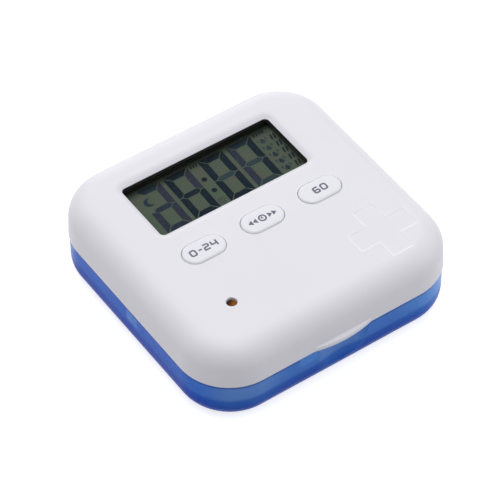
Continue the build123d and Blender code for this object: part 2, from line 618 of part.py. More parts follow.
def alarm_led():
    foot = HEIGHT - LED_SINK - LED_BODY
    body = disc(LED_FLANGE_R, LED_X, LED_Y, foot, LED_FLANGE)
    body += disc(LED_R, LED_X, LED_Y, foot, LED_BODY)
    return fillet(body.faces().sort_by(Axis.Z)[-1].edges(), LED_ROUND)


def led_leads():
    foot = HEIGHT - LED_SINK - LED_BODY
    low = BOARD_UNDER - LEAD_TAIL
    return [disc(LEAD_R, x, y, low, foot - low) for x, y in lead_places()]


def buzzer():
    body = disc(BUZZER_R, BUZZER_X, BUZZER_Y, BOARD_TOP, BUZZER_HEIGHT)
    body = fillet(body.faces().sort_by(Axis.Z)[-1].edges(), BUTTON_ROUND)
    return body - disc(BUZZER_HOLE_R, BUZZER_X, BUZZER_Y, BOARD_TOP + BUZZER_HEIGHT / 2, BUZZER_HEIGHT)


def controller_blob():
    """Drop of black resin over the clock chip, in the middle of the display holder."""
    body = disc(BLOB_R, WINDOW_X, WINDOW_Y, BOARD_TOP, BLOB_HEIGHT)
    return fillet(body.faces().sort_by(Axis.Z)[-1].edges(), BLOB_ROUND)


def clock_crystal():
    x = (BUTTON_XS["left"] + BUTTON_XS["middle"]) / 2
    return rod(CRYSTAL_R, x, BUTTON_ROW_Y, BOARD_TOP + CRYSTAL_R, CRYSTAL_LENGTH)


def board_parts():
    """Small resistors and capacitors in two rows, inside the lid's posts at the board's sides."""
    length, width, height = CHIP_SIZE
    row = BOARD_SCREW_X - BOARD_POST_R - CHIP_POST_GAP - length / 2
    rows = [-row, row]
    return [block(x, BUTTON_ROW_Y + (i - 1) * CHIP_PITCH, BOARD_TOP, length, width, height)
            for x in rows for i in range(3)]


def hook_places():
    return [CELL_X + i * HOOK_SPACING / 2 for i in (-1, 1)]


def coin_cell():
    can = disc(CELL_R, CELL_X, CELL_Y, CELL_Z, CELL_HEIGHT - CELL_STEP)
    can = fillet(can.faces().sort_by(Axis.Z)[0].edges(), CELL_ROUND)
    return can + disc(CELL_R - CELL_RIM, CELL_X, CELL_Y, CELL_Z, CELL_HEIGHT)


def contact_tail(x, top, start_y):
    """Strip that runs back under the bay's roof, a leg beside the board, and a foot on it."""
    leg_y = BOARD_FRONT - CONTACT_LEG_GAP
    run = leg_y - start_y
    tail = block(x, start_y + run / 2, top - STRIP_METAL, CONTACT_WIDTH, run, STRIP_METAL)
    low, high = sorted((top - STRIP_METAL, BOARD_TOP))
    tail += block(x, leg_y - STRIP_METAL / 2, low, CONTACT_WIDTH, STRIP_METAL, high - low + STRIP_METAL)
    foot = CONTACT_LEG_GAP + STRIP_METAL + CONTACT_FOOT
    tail += block(x, leg_y - STRIP_METAL + foot / 2, BOARD_TOP, CONTACT_WIDTH, foot, STRIP_METAL)
    return tail


def contact_places():
    """X of the minus contact, then of the plus contact, at the cell's middle."""
    return CELL_X - CONTACT_SPACING, CELL_X


def negative_contact():
    x, _ = contact_places()
    top = BAY_CEILING - CELL_GAP / 2
    touch = CELL_Z + CELL_HEIGHT + STACK_GAP
    tongue = [
        (CELL_Y, top),
        (CELL_Y, top - STRIP_METAL),
        (CELL_Y - TONGUE_LENGTH, touch),
        (CELL_Y - TONGUE_LENGTH, touch + STRIP_METAL),
    ]
    return contact_tail(x, top, CELL_Y) + side_prism(tongue, x, CONTACT_WIDTH)


def positive_contact():
    _, x = contact_places()
    top = BAY_CEILING - CELL_GAP / 2
    wall_y = CELL_Y + CELL_R + STACK_GAP
    low = CELL_Z + 2 * CELL_GAP
    upright = block(x, wall_y + STRIP_METAL / 2, low, CONTACT_WIDTH, STRIP_METAL, top - low)
    return contact_tail(x, top, wall_y) + upright


def battery_door():
    door = Pos(CELL_X, CELL_Y, 0) * slab(DOOR, DOOR, DOOR_CORNER, COVER_Z, COVER_PLATE)
    door -= disc(GRIP_R, CELL_X, CELL_Y - DOOR / 2 - GRIP_R / 2, COVER_Z, GRIP_DEPTH)
    neck_y = CELL_Y + (DOOR - HOOK_NECK) / 2
    reach = HOOK_NECK + HOOK_REACH
    for x in hook_places():
        neck_height = HOOK_SINK + HOOK_LIFT + HOOK_THICKNESS
        door += block(x, neck_y, COVER_TOP - HOOK_SINK, HOOK_WIDTH, HOOK_NECK, neck_height)
        door += block(x, neck_y + HOOK_REACH / 2, COVER_TOP + HOOK_LIFT, HOOK_WIDTH, reach, HOOK_THICKNESS)
    return door


def export(node, shape):
    """Write one node, with the whole object centred on its own box."""
    solids = shape if isinstance(shape, list) else [shape]
    moved = [Pos(0, BODY_SHIFT, 0) * solid for solid in solids]
    whole = moved[0] if len(moved) == 1 else Compound(children=moved)
    export_step(whole, f"parts/{node}.step")


def main():
    os.makedirs("parts", exist_ok=True)
    nodes = {
        "base_tray": base_tray(),
        "hinge_pins": hinge_pins(),
        "lid_shell": lid_shell(),
        "lid_inner_cover": lid_inner_cover(),
        "cover_screws": cover_screws(),
        "display_frame": display_frame(),
        "display_window": display_window(),
        "lcd_panel": lcd_panel(),
        "lcd_reflector": lcd_reflector(),
        "lcd_holder": lcd_holder(),
        "connector_strips": connector_strips(),
        "circuit_board": circuit_board(),
        "board_screws": board_screws(),
        "alarm_led": alarm_led(),
        "led_leads": led_leads(),
        "buzzer": buzzer(),
        "controller_blob": controller_blob(),
        "clock_crystal": clock_crystal(),
        "board_parts": board_parts(),
        "coin_cell": coin_cell(),
        "positive_contact": positive_contact(),
        "negative_contact": negative_contact(),
        "battery_door": battery_door(),
    }
    for side, x in BUTTON_XS.items():
        nodes[f"{side}_button"] = button(x)
        nodes[f"{side}_dome"] = dome(x)
    for node, shape in nodes.items():
        export(node, shape)
    print("nodes", len(nodes), "body shift", BODY_SHIFT)


main()
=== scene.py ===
# %% [markdown]
# # Electronic pill box
# A white lid with a clock display and three keys closes over a blue, see-through tray with four
# compartments. The solid parts come from the CAD model, already in place and in metres. This file
# dresses them: it gives each part its plastic, metal or rubber, prints the display and the keys,
# and adds the small moulded marks that such a box has. Blender works in metres. Outlines and places
# that are easier to read in millimetres are multiplied by MM where they are used.

# %% Load the CAD parts
import bpy
import json
import math
from mathutils import Matrix, Vector


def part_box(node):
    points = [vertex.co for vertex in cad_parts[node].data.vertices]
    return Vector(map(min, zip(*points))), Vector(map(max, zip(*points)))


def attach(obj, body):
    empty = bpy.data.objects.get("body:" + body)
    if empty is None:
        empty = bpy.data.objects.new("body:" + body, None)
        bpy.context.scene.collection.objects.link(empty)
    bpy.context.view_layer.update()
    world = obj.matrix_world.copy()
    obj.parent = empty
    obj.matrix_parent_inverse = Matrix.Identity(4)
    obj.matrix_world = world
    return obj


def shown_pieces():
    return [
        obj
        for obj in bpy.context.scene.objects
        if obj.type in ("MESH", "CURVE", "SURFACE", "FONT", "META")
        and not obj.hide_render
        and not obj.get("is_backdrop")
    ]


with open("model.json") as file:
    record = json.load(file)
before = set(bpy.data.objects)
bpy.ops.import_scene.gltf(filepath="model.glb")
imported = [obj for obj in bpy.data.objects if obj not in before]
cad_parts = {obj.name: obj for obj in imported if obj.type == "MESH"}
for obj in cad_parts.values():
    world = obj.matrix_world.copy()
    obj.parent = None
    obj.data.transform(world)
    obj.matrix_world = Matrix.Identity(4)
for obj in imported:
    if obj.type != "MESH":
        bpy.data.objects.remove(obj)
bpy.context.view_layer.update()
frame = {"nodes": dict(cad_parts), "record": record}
parts = frame["nodes"]
MM = 0.001

# %% [markdown]
# ## Camera
# The photograph was taken from the front left, about 48 degrees above the table, with a long lens,
# so parallel edges stay almost parallel. The place, the turn and the lens below come from matching
# the outline of the box, so the camera only has to be put there. Its axes are built by hand: the
# view direction first, then the level right-hand direction, then a small roll between the two.

# %% Camera
CAMERA_PLACE = Vector((-316.381, -456.998, 626.692)) * MM
CAMERA_TARGET = Vector((-2.107, -0.819, 13.603)) * MM
CAMERA_ROLL = math.radians(-0.419)
CAMERA_LENS = 207.84

look = (CAMERA_TARGET - CAMERA_PLACE).normalized()
level = look.cross(Vector((0, 0, 1))).normalized()
above = level.cross(look)
right = level * math.cos(CAMERA_ROLL) + above * math.sin(CAMERA_ROLL)
upward = right.cross(look)
camera_data = bpy.data.cameras.new("camera")
camera_data.lens = CAMERA_LENS
camera_data.clip_start = 0.01
camera = bpy.data.objects.new("camera", camera_data)
turn = Matrix((right, upward, -look)).transposed().to_4x4()
camera.matrix_world = Matrix.Translation(CAMERA_PLACE) @ turn
bpy.context.scene.collection.objects.link(camera)
bpy.context.scene.camera = camera
bpy.context.scene.view_settings.view_transform = "Standard"
print("camera", round((CAMERA_TARGET - CAMERA_PLACE).length / MM), "mm away")

# %% [markdown]
# ## Light and floor
# Product pictures of white plastic use large soft lights. Here a big panel above and behind the box
# gives the top its even brightness and leaves the near sides darker, which shows their round edges.
# A panel overhead reaches the small ledge above the thumb scoop, which the back one can't. A panel
# on each side lifts the left and the right, and a small one behind the far corner draws the bright
# lines on the edges that face away from the camera. The world adds an even grey fill. An area light
# shines along its own -Z axis, so each panel is turned until its Z axis points away from the box.

# %% Lights
# Place and width of each panel in metres, and its power in watts
SOFT_PANELS = {
    "back": ((0.04, 0.36, 0.68), 1.10, 3.4),
    "above": ((-0.08, -0.18, 0.80), 0.60, 1.6),
    "left": ((-0.75, 0.30, 0.25), 0.50, 0.50),
    "right": ((0.68, -0.42, 0.35), 0.50, 1.4),
    "far_corner": ((0.40, 0.84, 0.26), 0.45, 1.1),
}


def soft_panel(name, place, size, power):
    data = bpy.data.lights.new(name, "AREA")
    data.shape = "SQUARE"
    data.size = size
    data.energy = power
    panel = bpy.data.objects.new(name, data)
    turn = Vector(place).to_track_quat("Z", "Y").to_matrix().to_4x4()
    panel.matrix_world = Matrix.Translation(place) @ turn
    bpy.context.scene.collection.objects.link(panel)


for side, (place, size, power) in SOFT_PANELS.items():
    soft_panel("panel_" + side, place, size, power)
print("soft panels", len(SOFT_PANELS))

# %% [markdown]
# The world is grey for lighting, but plain white where the camera, a glossy surface or clear
# plastic looks straight at it. The floor does the same: it keeps the shadow of the box, and a weak
# glow that only those rays see brings the rest of it up to white.

# %% World
FILL_COLOUR = (0.96, 0.96, 1.03)
FILL_STRENGTH = 0.27


def seen_directly(tree):
    """1 for rays from the camera, and for mirrored or see-through ones."""
    path = tree.nodes.new("ShaderNodeLightPath")
    total = path.outputs["Is Camera Ray"]
    for name in ("Is Glossy Ray", "Is Transmission Ray"):
        either = tree.nodes.new("ShaderNodeMath")
        either.operation = "MAXIMUM"
        tree.links.new(total, either.inputs[0])
        tree.links.new(path.outputs[name], either.inputs[1])
        total = either.outputs[0]
    return total


world = bpy.data.worlds.new("studio")
world.use_nodes = True
bpy.context.scene.world = world
tree = world.node_tree
fill = tree.nodes["Background"]
fill.inputs["Color"].default_value = (*FILL_COLOUR, 1)
fill.inputs["Strength"].default_value = FILL_STRENGTH
white = tree.nodes.new("ShaderNodeBackground")
white.inputs["Color"].default_value = (1, 1, 1, 1)
choose = tree.nodes.new("ShaderNodeMixShader")
tree.links.new(seen_directly(tree), choose.inputs[0])
tree.links.new(fill.outputs[0], choose.inputs[1])
tree.links.new(white.outputs[0], choose.inputs[2])
tree.links.new(choose.outputs[0], tree.nodes["World Output"].inputs["Surface"])
print("world fill", FILL_STRENGTH)

# %% Floor
FLOOR_SIZE = 6.0
FLOOR_GREY = 0.68
FLOOR_GLOW = 0.75
half = FLOOR_SIZE / 2
floor_corners = [(-half, -half, 0), (half, -half, 0), (half, half, 0), (-half, half, 0)]
floor_mesh = bpy.data.meshes.new("floor")
floor_mesh.from_pydata(floor_corners, [], [(0, 1, 2, 3)])
floor = bpy.data.objects.new("floor", floor_mesh)
bpy.context.scene.collection.objects.link(floor)
paper = bpy.data.materials.new("white_paper")
paper.use_nodes = True
tree = paper.node_tree
matt = tree.nodes["Principled BSDF"]
matt.inputs["Base Color"].default_value = (FLOOR_GREY, FLOOR_GREY, FLOOR_GREY, 1)
matt.inputs["Roughness"].default_value = 1.0
matt.inputs["Specular IOR Level"].default_value = 0.0
glow = tree.nodes.new("ShaderNodeEmission")
strength = tree.nodes.new("ShaderNodeMath")
strength.operation = "MULTIPLY"
strength.inputs[1].default_value = FLOOR_GLOW
tree.links.new(seen_directly(tree), strength.inputs[0])
tree.links.new(strength.outputs[0], glow.inputs["Strength"])
both = tree.nodes.new("ShaderNodeAddShader")
tree.links.new(matt.outputs[0], both.inputs[0])
tree.links.new(glow.outputs[0], both.inputs[1])
tree.links.new(both.outputs[0], tree.nodes["Material Output"].inputs["Surface"])
floor.data.materials.append(paper)
floor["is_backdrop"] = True
print("floor", FLOOR_SIZE, "m wide")

# %% [markdown]
# ## Finishes
# Every finish starts from one Principled shader and gets its detail from noise on Object
# coordinates, which are true metres on every part. Three small helpers are enough for most of them:
# one spreads the colour a little, one spreads the roughness, and one raises a fine grain. Noise
# stays mostly between 0.3 and 0.7, so that range is the one that is stretched.

# %% Helpers for finishes
NOISE_LOW, NOISE_HIGH = 0.3, 0.7
finishes = {}


def new_finish(name, colour, roughness, **constants):
    material = bpy.data.materials.new(name)
    material.use_nodes = True
    tree = material.node_tree
    shader = tree.nodes["Principled BSDF"]
    shader.inputs["Base Color"].default_value = (*colour, 1)
    shader.inputs["Roughness"].default_value = roughness
    for socket, value in constants.items():
        shader.inputs[socket.replace("_", " ")].default_value = value
    return material, tree, shader


def noise(tree, size, detail=2.0, stretch=(1, 1, 1)):
    """Noise whose blots are about size metres across, longer where stretch is small."""
    place = tree.nodes.new("ShaderNodeTexCoord")
    scaled = tree.nodes.new("ShaderNodeMapping")
    scaled.inputs["Scale"].default_value = stretch
    pattern = tree.nodes.new("ShaderNodeTexNoise")
    pattern.inputs["Scale"].default_value = 1 / size
    pattern.inputs["Detail"].default_value = detail
    tree.links.new(place.outputs["Object"], scaled.inputs["Vector"])
    tree.links.new(scaled.outputs["Vector"], pattern.inputs["Vector"])
    return pattern.outputs["Fac"]


def spread_colour(tree, shader, factor, low, high):
    ramp = tree.nodes.new("ShaderNodeValToRGB")
    ramp.color_ramp.elements[0].position = NOISE_LOW
    ramp.color_ramp.elements[0].color = (*low, 1)
    ramp.color_ramp.elements[1].position = NOISE_HIGH
    ramp.color_ramp.elements[1].color = (*high, 1)
    tree.links.new(factor, ramp.inputs["Fac"])
    tree.links.new(ramp.outputs["Color"], shader.inputs["Base Color"])


def spread_roughness(tree, shader, factor, low, high):
    span = tree.nodes.new("ShaderNodeMapRange")
    span.inputs["From Min"].default_value = NOISE_LOW
    span.inputs["From Max"].default_value = NOISE_HIGH
    span.inputs["To Min"].default_value = low
    span.inputs["To Max"].default_value = high
    tree.links.new(factor, span.inputs["Value"])
    tree.links.new(span.outputs["Result"], shader.inputs["Roughness"])


def raise_grain(tree, shader, factor, height):
    """Bump of the given height in metres."""
    bump = tree.nodes.new("ShaderNodeBump")
    bump.inputs["Distance"].default_value = height
    tree.links.new(factor, bump.inputs["Height"])
    tree.links.new(bump.outputs["Normal"], shader.inputs["Normal"])


def shade(colour, amount):
    return tuple(min(1.0, c * amount) for c in colour)


# %% [markdown]
# Some finishes change in one place only. A place is a box in Object coordinates with soft edges:
# on each axis, a smooth step fades from its side towards its middle, and the three steps are
# multiplied. The share that comes out then mixes two colours. The Mix node has a set of sockets
# for every kind of value, all with the same names, so the ones for colour are found by their
# numbers.

# %% Helpers for places
MIX_COLOUR_A, MIX_COLOUR_B, MIX_COLOUR_RESULT = 6, 7, 2


def object_axes(tree):
    """X, Y and Z of the Object coordinates, on the outputs of one node."""
    place = tree.nodes.new("ShaderNodeTexCoord")
    axes = tree.nodes.new("ShaderNodeSeparateXYZ")
    tree.links.new(place.outputs["Object"], axes.inputs[0])
    return axes


def smooth_step(tree, value, start, end):
    """0 before start and 1 past end."""
    step = tree.nodes.new("ShaderNodeMapRange")
    step.interpolation_type = "SMOOTHSTEP"
    step.inputs["From Min"].default_value = start
    step.inputs["From Max"].default_value = end
    tree.links.new(value, step.inputs["Value"])
    return step


def inside_box(tree, axes, middle, half, soft):
    """1 inside a box given in millimetres and 0 outside, with sides that fade inwards over soft."""
    total = None
    for axis, centre, reach, fade in zip("XYZ", middle, half, soft):
        from_middle = tree.nodes.new("ShaderNodeMath")
        from_middle.operation = "SUBTRACT"
        from_middle.inputs[1].default_value = centre * MM
        tree.links.new(axes.outputs[axis], from_middle.inputs[0])
        distance = tree.nodes.new("ShaderNodeMath")
        distance.operation = "ABSOLUTE"
        tree.links.new(from_middle.outputs[0], distance.inputs[0])
        step = smooth_step(tree, distance.outputs[0], reach * MM, (reach - fade) * MM)
        if total is None:
            total = step.outputs["Result"]
        else:
            both = tree.nodes.new("ShaderNodeMath")
            both.operation = "MULTIPLY"
            tree.links.new(total, both.inputs[0])
            tree.links.new(step.outputs["Result"], both.inputs[1])
            total = both.outputs[0]
    return total


def tinted(tree, colour, share, tint, blend):
    """A colour that turns to the tint, or is multiplied by it, as far as the share says."""
    mix = tree.nodes.new("ShaderNodeMix")
    mix.data_type = "RGBA"
    mix.blend_type = blend
    mix.inputs[MIX_COLOUR_B].default_value = (*tint, 1)
    tree.links.new(share, mix.inputs["Factor"])
    tree.links.new(colour, mix.inputs[MIX_COLOUR_A])
    return mix.outputs[MIX_COLOUR_RESULT]


# %% [markdown]
# ### White plastic
# The lid is moulded in ABS with a fine satin texture. Under soft light it shows almost no grain,
# but its highlights are wide and a little uneven. A grain of a fifth of a millimetre breaks them
# up, and a slow change of roughness across a few centimetres keeps large faces from looking
# painted. The keys, the inner cover and the display's holder are the same plastic from other
# moulds, so one function makes all four.

# %% White plastics
def white_plastic(name, colour, roughness, grain):
    material, tree, shader = new_finish(name, colour, roughness, Specular_IOR_Level=0.42)
    slow = noise(tree, 0.035)
    spread_colour(tree, shader, slow, shade(colour, 0.985), shade(colour, 1.01))
    spread_roughness(tree, shader, slow, roughness - 0.05, roughness + 0.05)
    raise_grain(tree, shader, noise(tree, 0.00022, detail=1.0), grain)
    finishes[name] = material


white_plastic("white_shell", (0.852, 0.840, 0.885), 0.42, 0.000004)
white_plastic("white_cover", (0.83, 0.83, 0.87), 0.48, 0.000006)
white_plastic("white_button", (0.86, 0.86, 0.90), 0.36, 0.000003)
white_plastic("holder_plastic", (0.80, 0.80, 0.82), 0.5, 0.000005)
print("white plastics", sorted(finishes))

# %% [markdown]
# The sunk cross in the lid has polished slopes in the mould, so they are shinier than the satin
# face around them. Their colour is also painted a little whiter, as a painted highlight, so that a
# light behind the box draws their edges. The slopes lie between the cross's floor and the lid's
# top: one flat box in Object coordinates for each arm finds them.

# %% Slopes of the cross
# Middle of the slopes, half the cross's span and half an arm's width, and half the slopes' height
SLOPES_MIDDLE = (26.1, -25.925, 27.078)
HALF_SPAN, HALF_ARM, HALF_RISE = 9.97, 3.62, 0.115
SLOPES_SOFT = (0.06, 0.06, 0.012)
# Painted highlight: the colour the slopes are whitened towards
SLOPE_HIGHLIGHT_WHITE = (0.99, 0.98, 1.0)
SLOPE_ROUGHNESS = 0.16
tree = finishes["white_shell"].node_tree
shader = tree.nodes["Principled BSDF"]
axes = object_axes(tree)
for arm_half in ((HALF_SPAN, HALF_ARM, HALF_RISE), (HALF_ARM, HALF_SPAN, HALF_RISE)):
    # Painted highlight on the slopes of this arm, and a smoother finish there
    arm = inside_box(tree, axes, SLOPES_MIDDLE, arm_half, SLOPES_SOFT)
    plain = shader.inputs["Base Color"].links[0].from_socket
    tree.links.new(tinted(tree, plain, arm, SLOPE_HIGHLIGHT_WHITE, "MIX"), shader.inputs["Base Color"])
    smoother = tree.nodes.new("ShaderNodeMix")
    smoother.inputs["B"].default_value = SLOPE_ROUGHNESS
    tree.links.new(shader.inputs["Roughness"].links[0].from_socket, smoother.inputs["A"])
    tree.links.new(arm, smoother.inputs["Factor"])
    tree.links.new(smoother.outputs["Result"], shader.inputs["Roughness"])
print("slopes of the cross, roughness", SLOPE_ROUGHNESS)

# %% [markdown]
# ### Blue tray
# The tray is tinted plastic that is a little milky: light goes in, but the far side can't be made
# out. Its blue carries painted light and shade. A colour ramp on the height (Object Z) gives
# painted shade where the wall turns under into the rounded bottom, painted light in a paler band
# below the rim, where the white lid hangs inside the wall, and a thin dark line of painted shadow
# along the rim itself, at the gap under the lid. A smooth step along Object X paints shade on the
# left wall, a darker and purer blue, and painted light on the right one, a paler blue. Painted
# light also lightens the rounded corner at the front left and the thumb scoop. Where a lug of the
# lid snaps in behind the wall, its white is painted through as painted light, the palest blue.

# %% Blue tray
TRAY_RIM = 14.4 * MM
# Share of the height up to the rim, and the blue there, with painted shade low down and at the rim
TRAY_SHADED_BLUES = [
    (0.000, (0.011, 0.088, 0.580)),
    (0.300, (0.008, 0.076, 0.545)),
    (0.520, (0.020, 0.130, 0.640)),
    (0.660, (0.072, 0.255, 0.790)),
    (0.925, (0.082, 0.275, 0.820)),
    (0.960, (0.045, 0.150, 0.560)),
]
# In millimetres from here on. Along X: where a tint starts, where it is full, and what the blue is
# multiplied by there: painted shade on the left wall and painted light on the right one
SIDE_SHADE_AND_LIGHT = [(-36.0, -43.2, (0.32, 0.66, 1.00)), (15.0, 39.0, (2.15, 1.75, 1.30))]
# The corner and the scoop, lightened as painted light: middle, half size, soft edge and what the
# blue is multiplied by there
PAINTED_LIGHT_PLACES = [
    ((-36.0, -43.0, 7.0), (19.0, 16.0, 12.0), (11.0, 6.0, 1.0), (1.95, 1.32, 1.05)),
    ((0.0, -42.0, 7.0), (9.0, 3.0, 12.0), (4.0, 1.0, 1.0), (2.2, 1.40, 1.08)),
]
# Middle and half size of the painted light in front of each lug, their soft edge and their blue
LUG_LIGHT_PLACES = [((-11.6, -42.8, 12.6), (3.2, 2.0, 2.1)), ((-43.2, -1.5, 11.5), (2.0, 3.0, 2.1))]
LUG_LIGHT_SOFT = (0.6, 0.6, 0.6)
LUG_LIGHT_BLUE = (0.105, 0.335, 0.930)

material, tree, shader = new_finish(
    "blue_tray", TRAY_SHADED_BLUES[0][1], 0.3, Specular_IOR_Level=0.22, IOR=1.2, Transmission_Weight=0.14)
axes = object_axes(tree)
# Painted shade and light: the ramp on the height darkens the bottom, pales the band below the rim
# and draws a line of painted shadow along the rim
height = tree.nodes.new("ShaderNodeMapRange")
height.inputs["From Max"].default_value = TRAY_RIM
ramp = tree.nodes.new("ShaderNodeValToRGB")
ramp.color_ramp.interpolation = "EASE"
while len(ramp.color_ramp.elements) < len(TRAY_SHADED_BLUES):
    ramp.color_ramp.elements.new(0.5)
for element, (position, colour) in zip(ramp.color_ramp.elements, TRAY_SHADED_BLUES):
    element.position = position
    element.color = (*colour, 1)
tree.links.new(axes.outputs["Z"], height.inputs["Value"])
tree.links.new(height.outputs["Result"], ramp.inputs["Fac"])
blue = ramp.outputs["Color"]
# Painted shade on the left wall and painted light on the right one
for start, end, tint in SIDE_SHADE_AND_LIGHT:
    side = smooth_step(tree, axes.outputs["X"], start * MM, end * MM)
    blue = tinted(tree, blue, side.outputs["Result"], tint, "MULTIPLY")
# Painted light at the front left corner and in the thumb scoop
for middle, half, soft, tint in PAINTED_LIGHT_PLACES:
    blue = tinted(tree, blue, inside_box(tree, axes, middle, half, soft), tint, "MULTIPLY")
# Painted light where a white lug of the lid stands behind the wall
for middle, half in LUG_LIGHT_PLACES:
    blue = tinted(tree, blue, inside_box(tree, axes, middle, half, LUG_LIGHT_SOFT), LUG_LIGHT_BLUE, "MIX")
tree.links.new(blue, shader.inputs["Base Color"])
spread_roughness(tree, shader, noise(tree, 0.012), 0.24, 0.34)
raise_grain(tree, shader, noise(tree, 0.0006), 0.000004)
finishes["blue_tray"] = material
# The thin places counted here are the painted light in front of the lugs
print("blue tray has", len(TRAY_SHADED_BLUES), "steps of blue and", len(LUG_LIGHT_PLACES), "thin places")

# %% [markdown]
# ### Metals, rubber and small parts
# Metal is brushed or plated, so its noise is drawn out along one axis, like the marks of a tool.
# Rubber and resin differ in roughness and in how fine their grain is.

# %% Metals
def metal(name, colour, roughness, stretch):
    material, tree, shader = new_finish(name, colour, roughness, Metallic=1.0)
    marks = noise(tree, 0.0004, stretch=stretch)
    spread_colour(tree, shader, marks, shade(colour, 0.88), shade(colour, 1.08))
    spread_roughness(tree, shader, marks, roughness - 0.08, roughness + 0.08)
    raise_grain(tree, shader, marks, 0.000003)
    finishes[name] = material


metal("steel", (0.62, 0.62, 0.63), 0.26, (1, 0.05, 1))
metal("screw_steel", (0.60, 0.60, 0.63), 0.30, (1, 1, 1))
metal("tinned_wire", (0.72, 0.72, 0.70), 0.30, (1, 1, 0.1))
metal("crystal_can", (0.76, 0.76, 0.74), 0.22, (0.05, 1, 1))
metal("cell_steel", (0.66, 0.66, 0.67), 0.24, (0.06, 1, 1))
metal("contact_metal", (0.74, 0.72, 0.67), 0.28, (1, 0.06, 1))
print("finishes", len(finishes))

# %% Rubbers, resins and small parts
def plain_moulding(name, colour, roughness, blot, grain, **constants):
    material, tree, shader = new_finish(name, colour, roughness, **constants)
    pattern = noise(tree, blot)
    spread_colour(tree, shader, pattern, shade(colour, 0.86), shade(colour, 1.12))
    spread_roughness(tree, shader, pattern, roughness - 0.06, roughness + 0.06)
    raise_grain(tree, shader, pattern, grain)
    finishes[name] = material


plain_moulding("black_frame", (0.014, 0.014, 0.014), 0.55, 0.0008, 0.000005)
plain_moulding("buzzer_black", (0.022, 0.022, 0.023), 0.45, 0.001, 0.000005)
plain_moulding("black_resin", (0.015, 0.015, 0.015), 0.18, 0.003, 0.00002)
plain_moulding("chip_ceramic", (0.20, 0.13, 0.08), 0.5, 0.0005, 0.000004)
plain_moulding("reflector", (0.30, 0.34, 0.28), 0.6, 0.002, 0.000003)
plain_moulding("dome_rubber", (0.70, 0.72, 0.73), 0.6, 0.001, 0.000008, Subsurface_Weight=0.2,
               Subsurface_Scale=0.001)
plain_moulding("grey_rubber", (0.22, 0.23, 0.25), 0.7, 0.0006, 0.000006)
plain_moulding("print_grey", (0.115, 0.115, 0.165), 0.5, 0.0007, 0.0)
print("finishes", len(finishes))

# %% [markdown]
# The alarm light is a dome of amber resin. Its colour is painted with light and shade, as resin
# gathers light on the side away from the lamp: painted shade makes it dark brown at the back left
# and painted light orange at the front right. The position along that direction comes from a dot
# product with Object coordinates.

# %% Alarm light
light_low, light_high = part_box("alarm_led")
LIGHT_MIDDLE = (light_low + light_high) / 2
LIGHT_RADIUS = 1.5 * MM
# Painted shade and painted light at the two ends of the dome
LIGHT_SHADED_BROWN, LIGHT_LIT_ORANGE = (0.040, 0.011, 0.001), (0.25, 0.076, 0.003)
SHADE_TO_LIT = Vector((0.6, -0.8, 0.0))
material, tree, shader = new_finish("amber_light", LIGHT_LIT_ORANGE, 0.22, IOR=1.18)
place = tree.nodes.new("ShaderNodeTexCoord")
along = tree.nodes.new("ShaderNodeVectorMath")
along.operation = "DOT_PRODUCT"
along.inputs[1].default_value = SHADE_TO_LIT
span = tree.nodes.new("ShaderNodeMapRange")
span.inputs["From Min"].default_value = LIGHT_MIDDLE.dot(SHADE_TO_LIT) - LIGHT_RADIUS
span.inputs["From Max"].default_value = LIGHT_MIDDLE.dot(SHADE_TO_LIT) + LIGHT_RADIUS
tree.links.new(place.outputs["Object"], along.inputs[0])
tree.links.new(along.outputs["Value"], span.inputs["Value"])
spread_colour(tree, shader, span.outputs["Result"], LIGHT_SHADED_BROWN, LIGHT_LIT_ORANGE)
spread_roughness(tree, shader, noise(tree, 0.002), 0.18, 0.26)
finishes["amber_light"] = material
print("finishes", len(finishes))

# %% [markdown]
# The circuit board has copper tracks under green lacquer. A brick pattern with hardly any height
# between its rows looks like runs of parallel tracks, and the same pattern raises them slightly.

# %% Circuit board
BOARD_GREEN = (0.030, 0.200, 0.080)
BRICKS = {
    "Color1": (*BOARD_GREEN, 1),
    "Color2": (0.024, 0.165, 0.068, 1),
    "Mortar": (0.055, 0.300, 0.120, 1),
    "Scale": 110.0,
    "Mortar Size": 0.03,
    "Row Height": 0.16,
}
material, tree, shader = new_finish("board_green", BOARD_GREEN, 0.32, Specular_IOR_Level=0.5)
place = tree.nodes.new("ShaderNodeTexCoord")
tracks = tree.nodes.new("ShaderNodeTexBrick")
for socket, value in BRICKS.items():
    tracks.inputs[socket].default_value = value
tree.links.new(place.outputs["Object"], tracks.inputs["Vector"])
tree.links.new(tracks.outputs["Color"], shader.inputs["Base Color"])
spread_roughness(tree, shader, noise(tree, 0.01), 0.26, 0.38)
raise_grain(tree, shader, tracks.outputs["Fac"], 0.00002)
finishes["board_green"] = material
print("finishes", len(finishes))

# %% [markdown]
# ### Display
# The display is a sandwich: glass with a grey-green ground, dark segments printed in the liquid
# crystal, and a clear window above. The ground isn't quite even: it turns brownish in soft blots
# where the film under it is stressed. The display lies deep under its black frame, so it gets less
# light along the back and right edges: a soft step on Object Y and another on Object X dim both the
# ground and the segments there.

# %% Display ground
LCD_GREEN = (0.091, 0.124, 0.091)
LCD_BROWN = (0.107, 0.116, 0.093)
# Axis, where the dimming starts, where it ends, and how bright the edge is then
DIM_EDGES = [("Y", 25.5 * MM, 29.8 * MM, 0.07), ("X", 23.9 * MM, 25.4 * MM, 0.30)]


